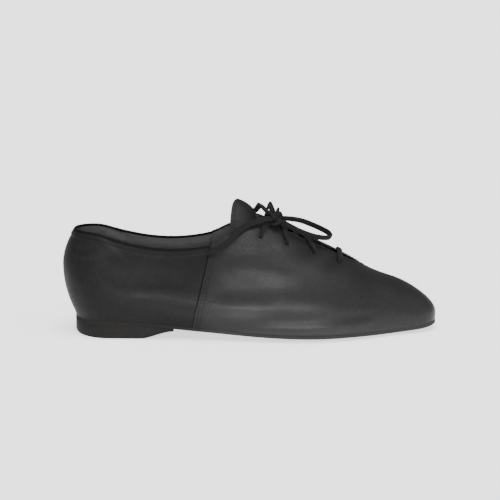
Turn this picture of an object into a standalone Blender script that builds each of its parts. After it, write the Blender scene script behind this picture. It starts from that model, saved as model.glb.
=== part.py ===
"""Lace-up jazz dance shoe for the right foot, standing empty on a floor.

+X points to the toe, +Z up, and the outer (lateral) side of the foot is at -Y.
The last is a set of upright wall columns that run round the foot. Each column
rises from the feather edge, over the bulge of the wall, to the crest line.
Every piece of the shoe is worked out from that one form.
"""

import math
from collections import namedtuple

import bmesh
import bpy
import numpy as np
from mathutils import Vector

MM = 0.001
WELD = 0.00001
SLIVER = 0.000005
LATERAL = -1
MEDIAL = 1
SIDES = (LATERAL, MEDIAL)

# Driving sizes of the last, in millimetres. "Along" is counted from the heel's back to the toe's tip.
LENGTH = 262.0
HEEL_CENTRE = 33.0
TOE_CENTRE = 232.0
TOE_TAPER = 0.42
FOREFOOT_STATIONS = range(150, 200)

# The walls at each station along the foot: where the spine runs, the half widths at the bulge,
# how far the feather edge tucks in, the bulge's height, and the roundness above and below it.
WALL_COLUMNS = ("along", "spine", "lateral", "medial", "tuck_lateral", "tuck_medial", "bulge", "crown", "bow")
WALL_ROWS = (
    (33.0, 0.0, 31.0, 31.0, 5.0, 5.0, 31.0, 2.15, 1.8),
    (60.0, 0.0, 31.5, 30.5, 4.5, 5.5, 30.0, 2.10, 1.6),
    (85.0, 0.2, 33.0, 31.0, 4.0, 7.0, 29.0, 1.85, 1.4),
    (104.0, 0.6, 35.5, 32.0, 3.8, 8.0, 27.0, 1.30, 1.2),
    (122.0, 1.0, 38.5, 34.0, 3.6, 7.5, 25.0, 0.88, 1.1),
    (145.0, 1.5, 42.0, 37.0, 3.5, 5.5, 21.0, 0.70, 1.0),
    (170.0, 2.0, 43.5, 40.5, 3.5, 4.0, 18.0, 0.64, 1.0),
    (188.0, 2.8, 41.5, 41.5, 3.3, 3.5, 16.0, 0.62, 1.0),
    (204.0, 3.8, 37.0, 39.0, 3.0, 3.2, 15.0, 0.60, 1.0),
    (218.0, 4.9, 31.5, 34.0, 2.7, 3.0, 14.0, 0.57, 1.0),
    (232.0, 6.0, 25.5, 26.5, 2.5, 2.6, 13.0, 0.52, 1.0),
)
# The same values straight behind the heel and straight ahead of the toe.
HEEL_BACK = {"tuck": 9.2, "bulge": 48.0, "crown": 2.15, "bow": 2.0}
TOE_TIP = {"tuck": 0.7, "bulge": 12.0, "crown": 0.50, "bow": 1.0}

# Lines along the foot as (along, height) or (along, half width).
CREST_ROWS = ((0.0, 118.0), (33.0, 118.0), (70.0, 113.0), (100.0, 107.0), (121.0, 99.5), (134.0, 93.0),
              (145.0, 85.5), (160.0, 75.5), (175.0, 66.5), (188.0, 59.5), (200.0, 52.8), (214.0, 44.5),
              (232.0, 37.2), (262.0, 27.0))
FEATHER_ROWS = ((0.0, 12.5), (33.0, 12.6), (54.0, 12.0), (71.0, 10.8), (88.0, 9.3), (112.0, 7.6), (140.0, 5.9),
                (168.0, 5.0), (205.0, 4.7), (225.0, 4.6), (245.0, 5.2), (255.0, 6.0), (262.0, 7.2))
TOPLINE_ROWS = ((9.0, 73.5), (25.0, 72.0), (43.0, 67.2), (60.0, 63.8), (80.0, 62.6), (92.0, 63.6),
                (104.0, 66.0), (116.0, 72.0), (130.0, 78.5), (138.0, 84.0), (150.0, 98.0))
THROAT_ROWS = ((120.0, 16.0), (138.0, 14.5), (156.0, 12.0), (175.0, 9.5), (190.0, 7.5), (199.0, 5.8))
THROAT_END = 205.0
CORNER_SOFTNESS = 4.0
# In the heel's and the toe's fan the top line is read at this share of a column's reach.
FAN_RIM_SHARE = 0.7

# The upper's wall, its side seam and the band along the top line.
WALL = 1.6
JOIN = 0.35
SEAM_ALONG = 104.0
SEAM_HEIGHT = 64.0
SEAM_LEAN = 0.22
SEAM_LEAN_REACH = 55.0
LAP_STEP = 0.7
LAP_FADE = 14.0
BAND_ANGLE = 3.6
BAND_STEP = 0.4
STEP_WIDTH = 0.4
FOOT_ROWS = 4
WALL_STEPS = 7
TOE_TURNS = 6
HEEL_TURNS = 6
SIDE_STATIONS = (225.0, 218.0, 211.0, 206.5, 205.0, 203.5, 201.5, 199.0, 194.0, 187.0, 179.0, 170.0, 161.0,
                 152.0, 144.0, 138.0, 134.0, 131.0, 128.0, 124.0, 119.0, 113.0, 108.0, SEAM_ALONG,
                 SEAM_ALONG - STEP_WIDTH, 99.0, 92.0, 84.0, 75.0, 66.0, 57.0, 49.0, 41.0)

# Eyelets as (along, half width from the spine), top pair first.
EYELETS = ((138.4, 23.6), (156.6, 21.5), (175.5, 18.6), (192.7, 16.5))
EYELET_BORE = 3.2
EYELET_CUT_DEPTH = 12.8
EYELET_FACETS = 10

# The tongue lies under the facings. The room over it is given at its edges and down its middle,
# where the lace presses it in.
TONGUE_TOP = 123.5
TONGUE_TOP_DROP = 4.0
TONGUE_TOE = 213.0
TONGUE_THICK = 1.5
TONGUE_WIDTH_ROWS = ((110.0, 23.0), (121.0, 23.0), (150.0, 22.0), (190.0, 16.5), (213.0, 11.0))
TONGUE_EDGE_ROOM = 0.5
TONGUE_ROUND = 7.0
TONGUE_LIFT_ROWS = ((110.0, 3.0), (124.0, 3.0), (138.0, 0.0), (213.0, 0.0))
TONGUE_ROOM_ROWS = ((110.0, 0.8), (122.0, 0.8), (133.0, 1.2), (146.0, 6.0), (156.0, 5.2), (170.0, 3.8),
                    (185.0, 2.8), (196.0, 1.2), (205.0, 0.6), (213.0, 0.5))
TONGUE_LENGTH_STEPS = 16
TONGUE_WIDTH_STEPS = 5

# The insole, the outsole and the heel.
SOLE = 2.4
SOLE_LIP = 0.6
CROWN_ROWS = ((0.0, 0.4), (60.0, 0.6), (90.0, 1.6), (120.0, 2.6), (150.0, 3.2), (200.0, 3.2), (225.0, 2.8),
              (245.0, 1.8), (262.0, 0.8))
SOLE_CROWN_POWER = 2.2
SOLE_RINGS = (1.0, 0.85, 0.62, 0.34, 0.0)
SOLE_STATIONS = (225.0, 216.0, 206.0, 194.0, 181.0, 168.0, 155.0, 142.0, 129.0, 116.0, 104.0, 94.0, 84.0, 74.0,
                 64.0, 54.0, 44.0)
INSOLE = 1.8
INSOLE_MARGIN = 2.4
HEEL_FRONT = 78.0
HEEL_BREAST = 54.0
HEEL_CHAMFER = 1.0
HEEL_BACK_CHAMFER = 2.6
HEEL_TOE_EDGE = 0.5
HEEL_STATIONS = (HEEL_FRONT, 74.0, 70.0, 66.0, 62.0, 58.0, HEEL_BREAST, 44.0)
HEEL_RINGS = (1.0, 0.7, 0.36, 0.0)

# The lace. Each route is a list of (along, across from the spine, lift off the last), lateral side negative.
LACE = 3.0
LACE_BEVEL = 2
LACE_SUBSTEPS = 2
BAR_ROUTE = ((192.7, -16.0, 2.1), (193.2, -8.4, 2.1), (193.6, 0.0, 0.9), (193.2, 8.4, 2.1), (192.7, 16.0, 2.1))
# Routes that run on both sides of the foot, given for the lateral side.
CROSS_ROUTES = {
    "lace_cross_front": ((175.5, -18.2, 2.1), (173.2, -13.5, 2.1), (171.0, -9.4, 2.0), (166.0, 0.0, -2.4),
                         (162.4, 8.4, -3.0), (161.2, 11.6, -3.2)),
    "lace_cross_top": ((156.6, -21.2, 2.1), (155.4, -16.5, 2.1), (154.4, -11.4, 2.0), (152.5, 0.0, -3.0),
                       (150.9, 9.6, -3.3), (150.4, 13.0, -3.5)),
}
# The leads run from the top eyelets and end in the knot.
LEAD_ROUTE = ((138.4, -23.2, 2.1), (140.6, -18.4, 2.1), (142.6, -15.0, 2.1), (144.2, -12.4, 2.6))
KNOT = {"along": 147.0, "across": -11.0, "lift": 3.7, "length": 11.5, "width": 13.0, "height": 6.2}
KNOT_FACETS = {"round": 12, "high": 8}
CORD_ROUTES = {
    "lace_loop_lateral": ((151.9, -12.5, 5.9), (156.0, -13.0, 6.4), (163.0, -12.8, 6.4), (172.0, -11.4, 6.8),
                          (179.5, -8.4, 7.4), (184.0, -3.8, 7.8), (181.6, 0.4, 8.4), (172.5, -0.4, 8.4),
                          (163.5, -3.2, 8.0), (156.5, -6.8, 7.2), (151.8, -9.0, 6.1)),
    "lace_loop_medial": ((148.2, -4.4, 5.8), (148.6, 2.0, 3.8), (148.8, 8.0, 3.6), (149.2, 13.0, 4.8),
                         (149.6, 19.0, 5.7), (150.6, 26.4, 5.4), (149.1, 28.4, 5.2), (145.6, 29.2, 5.0),
                         (142.1, 28.4, 5.2), (140.6, 26.4, 5.6), (141.0, 19.0, 5.8), (141.6, 13.0, 5.4),
                         (142.2, 7.0, 4.2), (142.8, 1.0, 4.4), (143.9, -4.9, 6.0)),
    "lace_end_lateral": ((142.0, -14.5, 5.6), (139.2, -15.8, 5.4), (136.0, -17.3, 4.6), (132.6, -18.9, 3.4),
                         (129.0, -20.4, 2.5), (124.5, -22.3, 2.3), (120.5, -24.2, 2.3), (116.0, -26.0, 2.3),
                         (111.0, -27.1, 2.3), (105.0, -27.1, 2.7), (101.0, -27.1, 2.3)),
    "lace_end_medial": ((140.6, -7.8, 3.6), (138.6, -4.0, 2.0), (138.2, 2.0, -0.6), (136.8, 8.6, 0.4),
                        (134.4, 14.4, 2.6), (130.0, 17.8, 2.4), (124.0, 20.6, 2.3), (117.0, 22.6, 2.3),
                        (111.0, 24.4, 2.4), (104.5, 25.6, 2.8)),
}

Column = namedtuple("Column", "side along origin heading reach tuck feather bulge crown bow top")


def line_value(rows, along):
    """Value at one place along the foot of a smooth line through a table's points."""
    places, values = np.array(rows).T
    slopes = np.gradient(values, places)
    step = int(np.clip(np.searchsorted(places, along) - 1, 0, len(places) - 2))
    span = places[step + 1] - places[step]
    t = float(np.clip((along - places[step]) / span, 0.0, 1.0))
    start = (1.0 + 2.0 * t) * (1.0 - t) ** 2 * values[step] + t * (1.0 - t) ** 2 * span * slopes[step]
    end = t * t * (3.0 - 2.0 * t) * values[step + 1] - t * t * (1.0 - t) * span * slopes[step + 1]
    return float(start + end)


def wall_value(name, along):
    """One named value of the wall table at a place along the foot."""
    place = WALL_COLUMNS.index(name)
    return line_value([(row[0], row[place]) for row in WALL_ROWS], along)


def blend(start, end, share):
    """Value a share of the way from start to end."""
    return start + (end - start) * share


def soft_least(first, second, softness):
    """The smaller of two values, with the corner between them rounded off."""
    gap = max(softness - abs(first - second), 0.0) / softness
    return min(first, second) - gap * gap * softness / 4.0


def half_gap(along):
    """Half width of the throat between the facings, closed in a round end towards the toe."""
    if along >= THROAT_END:
        return 0.0
    straight_end, end_width = THROAT_ROWS[-1]
    if along <= straight_end:
        return line_value(THROAT_ROWS, along)
    share = (along - straight_end) / (THROAT_END - straight_end)
    return end_width * math.sqrt(1.0 - share * share)


def top_angle(rim_along, crest_along, reach, bulge, crown):
    """Angle on the column where the upper is cut off: by the top line, by the facing, or not at all."""
    if crest_along >= THROAT_END:
        return 90.0
    rise = (line_value(TOPLINE_ROWS, rim_along) - bulge) / (line_value(CREST_ROWS, crest_along) - bulge)
    by_topline = math.degrees(math.asin(min(rise, 1.0)))
    by_throat = math.degrees(math.acos((half_gap(crest_along) / reach) ** (0.5 / crown)))
    return soft_least(by_topline, by_throat, CORNER_SOFTNESS)


def side_column(along, side):
    """Column in a plane across the foot, on one side of the spine."""
    name = "lateral" if side == LATERAL else "medial"
    reach = wall_value(name, along)
    bulge = wall_value("bulge", along)
    crown = wall_value("crown", along)
    return Column(side, along, (along, wall_value("spine", along)), (0.0, float(side)), reach,
                  wall_value("tuck_" + name, along), line_value(FEATHER_ROWS, along), bulge, crown,
                  wall_value("bow", along), top_angle(along, along, reach, bulge, crown))


def fan_column(centre, length, taper, tip, side, turn):
    """Column of the heel's or the toe's fan. A turn of 0 looks to the side, 90 straight to the end."""
    name = "lateral" if side == LATERAL else "medial"
    swing = math.radians(turn)
    ahead = abs(length) * math.sin(swing)
    aside = wall_value(name, centre) * math.cos(swing) - taper * ahead * (1.0 - math.sin(swing))
    reach = math.hypot(ahead, aside)
    heading = (math.copysign(ahead, length) / reach, side * aside / reach)
    share = heading[0] ** 2
    tuck = blend(wall_value("tuck_" + name, centre), tip["tuck"], share)
    bulge = blend(wall_value("bulge", centre), tip["bulge"], share)
    crown = blend(wall_value("crown", centre), tip["crown"], share)
    feather = line_value(FEATHER_ROWS, centre + heading[0] * (reach - tuck))
    rim_along = centre + FAN_RIM_SHARE * heading[0] * reach
    top = top_angle(rim_along, centre, reach, bulge, crown)
    return Column(side, centre, (centre, wall_value("spine", centre)), heading, reach, tuck, feather, bulge,
                  crown, blend(wall_value("bow", centre), tip["bow"], share), top)


def heel_column(side, turn):
    return fan_column(HEEL_CENTRE, -HEEL_CENTRE, 0.0, HEEL_BACK, side, turn)


def toe_column(side, turn):
    return fan_column(TOE_CENTRE, LENGTH - TOE_CENTRE, TOE_TAPER, TOE_TIP, side, turn)


def columns_round(stations, toe_turns, heel_turns):
    """Columns in order from the toe's tip down the lateral side, round the heel and back up."""
    toe = [90.0 * step / toe_turns for step in range(toe_turns + 1)]
    heel = [90.0 * step / heel_turns for step in range(heel_turns + 1)]
    lateral = [toe_column(LATERAL, turn) for turn in reversed(toe)]
    lateral += [side_column(along, LATERAL) for along in stations]
    lateral += [heel_column(LATERAL, turn) for turn in heel]
    medial = [heel_column(MEDIAL, turn) for turn in reversed(heel[:-1])]
    medial += [side_column(along, MEDIAL) for along in reversed(stations)]
    medial += [toe_column(MEDIAL, turn) for turn in toe[:-1]]
    return lateral + medial


def last_point(column, angle):
    """Point of the last on a column: -90 is the feather edge, 0 the bulge and 90 the crest."""
    swing = math.radians(angle)
    if angle < 0.0:
        reach = column.reach - column.tuck * (1.0 - math.cos(swing) ** column.bow)
        height = column.bulge + (column.bulge - column.feather) * math.sin(swing)
    else:
        reach = column.reach * max(math.cos(swing), 0.0) ** (2.0 * column.crown)
        crest = line_value(CREST_ROWS, column.origin[0] + column.heading[0] * reach)
        height = column.bulge + (crest - column.bulge) * math.sin(swing)
    return Vector((column.origin[0] + column.heading[0] * reach,
                   column.origin[1] + column.heading[1] * reach, height))


def seam_shift(along, height):
    """How far a column leans back below the top line, so that the side seam runs along one column."""
    near = max(1.0 - abs(along - SEAM_ALONG) / SEAM_LEAN_REACH, 0.0)
    return -SEAM_LEAN * max(SEAM_HEIGHT - height, 0.0) * near * near * (3.0 - 2.0 * near)


def wall_point(column, angle):
    """Point of the last on a column that leans as the side seam does."""
    point = last_point(column, angle)
    shift = seam_shift(column.along, point.z) if column.heading[0] == 0.0 else 0.0
    if shift == 0.0:
        return point
    return last_point(side_column(column.along + shift, column.side), angle)


def surface_frame(along, across):
    """Point of the last above the bulge, and the way out of it, at a half width from the spine."""
    side = LATERAL if across < 0.0 else MEDIAL
    small = 0.05
    reach = max(abs(across), small)

    def point(place, half):
        column = side_column(place, side)
        angle = math.degrees(math.acos(min(half / column.reach, 1.0) ** (0.5 / column.crown)))
        return last_point(column, angle)

    here = point(along, reach)
    down = point(along, reach + small) - here
    ahead = point(along + small, reach) - here
    out = down.cross(ahead) if side == LATERAL else ahead.cross(down)
    if abs(across) <= small:
        out.y = 0.0
    return here, out.normalized()


def off_surface(along, across, lift):
    """Point a lift away from the last."""
    here, out = surface_frame(along, across)
    return here + out * lift


def place(point):
    """A point of the last in the part's own frame, in metres."""
    return Vector(((point.x - LENGTH / 2.0) * MM, (point.y - MIDLINE) * MM, point.z * MM))


def plan_middle():
    """Middle of the last's greatest width, which the part's frame stands over."""
    lateral = [wall_value("spine", along) - wall_value("lateral", along) for along in FOREFOOT_STATIONS]
    medial = [wall_value("spine", along) + wall_value("medial", along) for along in FOREFOOT_STATIONS]
    return (min(lateral) + max(medial)) / 2.0


MIDLINE = plan_middle()


def clear_scene():
    for item in list(bpy.data.objects):
        bpy.data.objects.remove(item, do_unlink=True)


def make_collection(name):
    collection = bpy.data.collections.new(name)
    bpy.context.scene.collection.children.link(collection)
    return collection


def make_material(name, colour, roughness):
    material = bpy.data.materials.new(name)
    material.use_nodes = True
    shader = material.node_tree.nodes["Principled BSDF"]
    shader.inputs["Base Color"].default_value = (*colour, 1.0)
    shader.inputs["Roughness"].default_value = roughness
    return material


def add_mesh(name, bm, material, collection):
    """Object from a bmesh in metres, welded where its rows meet."""
    bmesh.ops.remove_doubles(bm, verts=bm.verts, dist=WELD)
    bmesh.ops.dissolve_degenerate(bm, edges=bm.edges, dist=SLIVER)
    mesh = bpy.data.meshes.new(name)
    bm.to_mesh(mesh)
    bm.free()
    mesh.materials.append(material)
    item = bpy.data.objects.new(name, mesh)
    collection.objects.link(item)
    return item


def add_faces(bm, rows, round_trip, flip):
    """Quads between neighbouring rows of vertices."""
    count = len(rows)
    for step in range(count if round_trip else count - 1):
        here = rows[step]
        following = rows[(step + 1) % count]
        for place_in_row in range(len(here) - 1):
            corners = [here[place_in_row], here[place_in_row + 1],
                       following[place_in_row + 1], following[place_in_row]]
            bm.faces.new(reversed(corners) if flip else corners)


def wall_angles(column):
    """Angles of the rows of one column, with the top band's step kept a set way below the rim."""
    angles = [-90.0 + 90.0 * step / FOOT_ROWS for step in range(FOOT_ROWS)]
    band_low = column.top - BAND_ANGLE - STEP_WIDTH
    angles += [band_low * step / WALL_STEPS for step in range(WALL_STEPS + 1)]
    return angles + [column.top - BAND_ANGLE, column.top]


def relief(column, row, rows):
    """Step of the leather at the side seam's lap and along the top band."""
    past_seam = column.along - SEAM_ALONG
    on_lap = column.heading[0] == 0.0 and -0.5 * STEP_WIDTH < past_seam < LAP_FADE
    off_sole = min(row / FOOT_ROWS, 1.0)
    lap = LAP_STEP * off_sole * (1.0 - past_seam / LAP_FADE) if on_lap else 0.0
    on_band = column.along < SEAM_ALONG - 0.5 * STEP_WIDTH and row >= rows - 2
    return max(lap, BAND_STEP if on_band else 0.0)


def add_upper(material, collection):
    """The leather upper: one shell with the collar, the throat and the sole left open."""
    columns = columns_round(SIDE_STATIONS, TOE_TURNS, HEEL_TURNS)
    grid = [[wall_point(column, angle) for angle in wall_angles(column)] for column in columns]
    rows = len(grid[0])
    bm = bmesh.new()
    vertices = []
    for step, column in enumerate(columns):
        ahead = grid[step - 1]
        behind = grid[(step + 1) % len(grid)]
        line = []
        for row, point in enumerate(grid[step]):
            lift = relief(column, row, rows)
            if lift > 0.0:
                up = grid[step][min(row + 1, rows - 1)] - grid[step][max(row - 1, 0)]
                point = point + up.cross(ahead[row] - behind[row]).normalized() * -lift
            line.append(bm.verts.new(place(point)))
        vertices.append(line)
    add_faces(bm, vertices, True, False)
    upper = add_mesh("upper", bm, material, collection)
    thicken = upper.modifiers.new("wall", "SOLIDIFY")
    thicken.thickness = WALL * MM
    thicken.offset = -1.0
    thicken.use_even_offset = True
    return upper


def cut_eyelets(upper, cutters):
    """Bore the punched eyelets square through the facings."""
    bm = bmesh.new()
    for along, half in EYELETS:
        for side in SIDES:
            here, out = surface_frame(along, side * half)
            turn = Vector((0.0, 0.0, 1.0)).rotation_difference(out).to_matrix().to_4x4()
            turn.translation = place(here)
            bmesh.ops.create_cone(bm, cap_ends=True, segments=EYELET_FACETS, radius1=EYELET_BORE * MM / 2.0,
                                  radius2=EYELET_BORE * MM / 2.0, depth=EYELET_CUT_DEPTH * MM, matrix=turn)
    mesh = bpy.data.meshes.new("eyelet_bores")
    bm.to_mesh(mesh)
    bm.free()
    bores = bpy.data.objects.new("eyelet_bores", mesh)
    bores.display_type = "WIRE"
    bores.hide_render = True
    cutters.objects.link(bores)
    cut = upper.modifiers.new("eyelets", "BOOLEAN")
    cut.operation = "DIFFERENCE"
    cut.solver = "EXACT"
    cut.object = bores


def tongue_point(along, across, spread, room):
    """Point a room below the last, with its ridge rounded off in the middle and the free end raised."""
    middle = 1.0 - spread * spread
    reach = math.hypot(across, TONGUE_ROUND * middle)
    side = LATERAL if across < 0.0 else MEDIAL
    here, out = surface_frame(along, side * reach)
    out.y *= abs(across) / reach
    here.y = wall_value("spine", along) + across
    here.z += line_value(TONGUE_LIFT_ROWS, along) * middle
    return here - out.normalized() * room


def add_tongue(material, collection):
    """The tongue, a curved leaf under the facings that comes out past their top."""
    bm = bmesh.new()
    rows = []
    for step in range(TONGUE_LENGTH_STEPS + 1):
        share = step / TONGUE_LENGTH_STEPS
        row = []
        for part in range(-TONGUE_WIDTH_STEPS, TONGUE_WIDTH_STEPS + 1):
            spread = part / TONGUE_WIDTH_STEPS
            along = blend(TONGUE_TOP - TONGUE_TOP_DROP * spread * spread, TONGUE_TOE, share)
            across = spread * line_value(TONGUE_WIDTH_ROWS, along)
            middle = line_value(TONGUE_ROOM_ROWS, along)
            room = WALL + blend(middle, TONGUE_EDGE_ROOM, spread * spread)
            row.append(bm.verts.new(place(tongue_point(along, across, spread, room))))
        rows.append(row)
    add_faces(bm, rows, False, True)
    tongue = add_mesh("tongue", bm, material, collection)
    thicken = tongue.modifiers.new("leaf", "SOLIDIFY")
    thicken.thickness = TONGUE_THICK * MM
    thicken.offset = -1.0
    thicken.use_even_offset = True


def sole_height(along, share):
    """Height of the outsole's underside: crowned across, and flat where it rests on the floor."""
    edge = line_value(FEATHER_ROWS, along) - JOIN - SOLE
    return max(edge - line_value(CROWN_ROWS, along) * (1.0 - abs(share) ** SOLE_CROWN_POWER), 0.0)


def plan_point(column, share, margin):
    """Plan place a share of the way from the spine to a margin outside the feather edge."""
    reach = (column.reach - column.tuck + margin) * share
    return column.origin[0] + column.heading[0] * reach, column.origin[1] + column.heading[1] * reach


def slab_rings(bm, columns, margin, shares, height_at):
    """One row of vertices per column, from the edge to the spine, at a height worked out from the plan."""
    rows = []
    for column in columns:
        row = []
        for share in shares:
            x, y = plan_point(column, share, margin)
            row.append(bm.verts.new(place(Vector((x, y, height_at(x, share))))))
        rows.append(row)
    return rows


def add_slab(name, columns, margin, low_at, high_at, material, collection):
    """Closed slab over the sole's plan between two heights."""
    bm = bmesh.new()
    low = slab_rings(bm, columns, margin, SOLE_RINGS, low_at)
    high = slab_rings(bm, columns, margin, SOLE_RINGS, high_at)
    add_faces(bm, low, True, True)
    add_faces(bm, high, True, False)
    add_faces(bm, [[under[0], over[0]] for under, over in zip(low, high)], True, False)
    return add_mesh(name, bm, material, collection)


def add_soles(materials, collection):
    columns = columns_round(SOLE_STATIONS, TOE_TURNS, HEEL_TURNS)

    def sole_top(along, share):
        return sole_height(along, share) + SOLE

    add_slab("outsole", columns, SOLE_LIP, sole_height, sole_top, materials["outsole"], collection)
    add_slab("insole", columns, -INSOLE_MARGIN, lambda along, share: sole_top(along, share) + JOIN,
             lambda along, share: sole_top(along, share) + JOIN + INSOLE, materials["insole"], collection)


def heel_bottom(along):
    """Underside of the heel block: flat on the floor, then the sloping breast."""
    share = min(max((along - HEEL_BREAST) / (HEEL_FRONT - HEEL_BREAST), 0.0), 1.0)
    top = sole_height(HEEL_FRONT, 1.0) - JOIN - HEEL_TOE_EDGE - line_value(CROWN_ROWS, HEEL_FRONT)
    return top * share * share * (3.0 - 2.0 * share)


def add_heel(material, collection):
    """The low heel block, with a small chamfer round its foot."""
    turns = [90.0 * step / HEEL_TURNS for step in range(HEEL_TURNS + 1)]
    columns = [side_column(along, LATERAL) for along in HEEL_STATIONS]
    columns += [heel_column(LATERAL, turn) for turn in turns]
    columns += [heel_column(MEDIAL, turn) for turn in reversed(turns[:-1])]
    columns += [side_column(along, MEDIAL) for along in reversed(HEEL_STATIONS)]

    def top_at(along, share):
        return sole_height(along, share) - JOIN

    def low_at(along, share):
        return heel_bottom(along)

    bm = bmesh.new()
    high = slab_rings(bm, columns, SOLE_LIP, HEEL_RINGS, top_at)
    low = []
    waist = []
    for column in columns:
        chamfer = blend(HEEL_CHAMFER, HEEL_BACK_CHAMFER, column.heading[0] ** 2)
        low += slab_rings(bm, [column], SOLE_LIP - chamfer, HEEL_RINGS, low_at)
        x, y = plan_point(column, 1.0, SOLE_LIP)
        thickness = top_at(x, 1.0) - heel_bottom(x)
        waist.append(bm.verts.new(place(Vector((x, y, heel_bottom(x) + min(chamfer, thickness / 2.0))))))
    add_faces(bm, low, False, True)
    add_faces(bm, high, False, False)
    add_faces(bm, [[under[0], mid, over[0]] for under, mid, over in zip(low, waist, high)], False, False)
    for end in (0, -1):
        bm.faces.new([waist[end]] + high[end] + list(reversed(low[end])))
    bmesh.ops.recalc_face_normals(bm, faces=bm.faces)
    add_mesh("heel", bm, material, collection)


def route_points(route):
    """Points of the part's frame along a route, rounded through its listed places."""
    listed = [np.array(place(off_surface(*stop))) for stop in route]
    padded = [2.0 * listed[0] - listed[1]] + listed + [2.0 * listed[-1] - listed[-2]]
    points = []
    for before, start, end, after in zip(padded, padded[1:], padded[2:], padded[3:]):
        for step in range(LACE_SUBSTEPS):
            t = step / LACE_SUBSTEPS
            points.append(0.5 * (2.0 * start + (end - before) * t
                                 + (2.0 * before - 5.0 * start + 4.0 * end - after) * t * t
                                 + (3.0 * start - before - 3.0 * end + after) * t ** 3))
    return points + [listed[-1]]


def add_tube(name, route, material, collection):
    """Round lace along a route."""
    points = route_points(route)
    curve = bpy.data.curves.new(name, "CURVE")
    curve.dimensions = "3D"
    curve.bevel_depth = LACE * MM / 2.0
    curve.bevel_resolution = LACE_BEVEL
    curve.use_fill_caps = True
    spline = curve.splines.new("POLY")
    spline.points.add(len(points) - 1)
    for spot, point in zip(spline.points, points):
        spot.co = (*point, 1.0)
    curve.materials.append(material)
    item = bpy.data.objects.new(name, curve)
    collection.objects.link(item)
    return item


def as_mesh(item, collection):
    """Plain mesh object in place of a curve object of the same name."""
    name = item.name
    bpy.context.view_layer.update()
    mesh = bpy.data.meshes.new_from_object(item.evaluated_get(bpy.context.evaluated_depsgraph_get()))
    bpy.data.objects.remove(item, do_unlink=True)
    bm = bmesh.new()
    bm.from_mesh(mesh)
    return add_mesh(name, bm, mesh.materials[0], collection)


def join_body(item, other):
    """Join a second body to an object, and keep the second only as a hidden helper."""
    other.display_type = "WIRE"
    other.hide_render = True
    join = item.modifiers.new("join", "BOOLEAN")
    join.operation = "UNION"
    join.solver = "EXACT"
    join.object = other


def mirrored(route):
    """The same route on the other side of the foot."""
    return [(along, -across, lift) for along, across, lift in route]


def add_knot(material, collection, cutters):
    """The knot in the throat with the leads that reach it from the top eyelets."""
    here, out = surface_frame(KNOT["along"], KNOT["across"])
    bm = bmesh.new()
    bmesh.ops.create_uvsphere(bm, u_segments=KNOT_FACETS["round"], v_segments=KNOT_FACETS["high"],
                              radius=0.5 * MM)
    turn = Vector((0.0, 0.0, 1.0)).rotation_difference(out).to_matrix()
    size = Vector((KNOT["length"], KNOT["width"], KNOT["height"]))
    for vertex in bm.verts:
        vertex.co = turn @ (vertex.co * size) + place(here + out * KNOT["lift"])
    knot = add_mesh("lace_knot", bm, material, collection)
    middle = (KNOT["along"], KNOT["across"], KNOT["lift"])
    for name, route in (("lead_lateral", list(LEAD_ROUTE)), ("lead_medial", mirrored(LEAD_ROUTE))):
        join_body(knot, as_mesh(add_tube(name, route + [middle], material, cutters), cutters))


def add_lace(material, collection, cutters):
    as_mesh(add_tube("lace_bar", BAR_ROUTE, material, collection), collection)
    for name, route in CROSS_ROUTES.items():
        strand = as_mesh(add_tube(name, route, material, collection), collection)
        join_body(strand, as_mesh(add_tube(name + "_second", mirrored(route), material, cutters), cutters))
    add_knot(material, collection, cutters)
    for name, route in CORD_ROUTES.items():
        as_mesh(add_tube(name, route, material, collection), collection)


def main():
    clear_scene()
    shoe = make_collection("jazz_shoe")
    cutters = make_collection("cutters")
    materials = {
        "upper": make_material("upper_leather", (0.022, 0.022, 0.024), 0.45),
        "tongue": make_material("tongue_leather", (0.020, 0.020, 0.022), 0.5),
        "insole": make_material("insole_fabric", (0.06, 0.06, 0.06), 0.9),
        "outsole": make_material("outsole_leather", (0.016, 0.014, 0.013), 0.7),
        "heel": make_material("heel_rubber", (0.010, 0.010, 0.010), 0.6),
        "lace": make_material("lace_cotton", (0.012, 0.012, 0.013), 0.9),
    }
    upper = add_upper(materials["upper"], shoe)
    cut_eyelets(upper, cutters)
    add_tongue(materials["tongue"], shoe)
    add_soles(materials, shoe)
    add_heel(materials["heel"], shoe)
    add_lace(materials["lace"], shoe, cutters)


main()
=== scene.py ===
"""Finish of a packed lace-up jazz dance shoe for the right foot: leather, seams, lining, lace and sole.

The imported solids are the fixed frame. Each piece is worked out here again from the same last and the same
sizes, in millimetres, with the detail that the solids leave out, and stands in for its solid.
+X points to the toe, +Z up, and the outer (lateral) side of the foot is at -Y.
"""

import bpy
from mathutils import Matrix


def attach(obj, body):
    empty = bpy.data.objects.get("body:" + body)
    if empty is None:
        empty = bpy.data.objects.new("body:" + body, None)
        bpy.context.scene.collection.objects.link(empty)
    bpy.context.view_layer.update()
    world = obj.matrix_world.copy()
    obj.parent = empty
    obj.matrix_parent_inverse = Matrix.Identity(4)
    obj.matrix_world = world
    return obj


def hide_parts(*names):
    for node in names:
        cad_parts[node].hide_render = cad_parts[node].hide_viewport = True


bl_info = {
    "name": "Jazz Dance Shoe",
    "version": (1, 0, 0),
    "blender": (4, 5, 0),
    "location": "View3D > Sidebar > Jazz Shoe",
    "description": "Finishes a lace-up jazz dance shoe with leather, seams, lining, lace and sole",
    "category": "Add Mesh",
}

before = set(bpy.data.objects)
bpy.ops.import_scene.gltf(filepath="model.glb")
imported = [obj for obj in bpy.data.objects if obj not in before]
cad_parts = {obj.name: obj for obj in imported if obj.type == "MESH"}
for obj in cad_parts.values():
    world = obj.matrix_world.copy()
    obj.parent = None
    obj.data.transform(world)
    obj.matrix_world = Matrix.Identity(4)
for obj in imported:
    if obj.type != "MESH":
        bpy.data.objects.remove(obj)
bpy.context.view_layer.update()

import math
from collections import namedtuple
from contextlib import contextmanager
from functools import lru_cache

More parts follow.
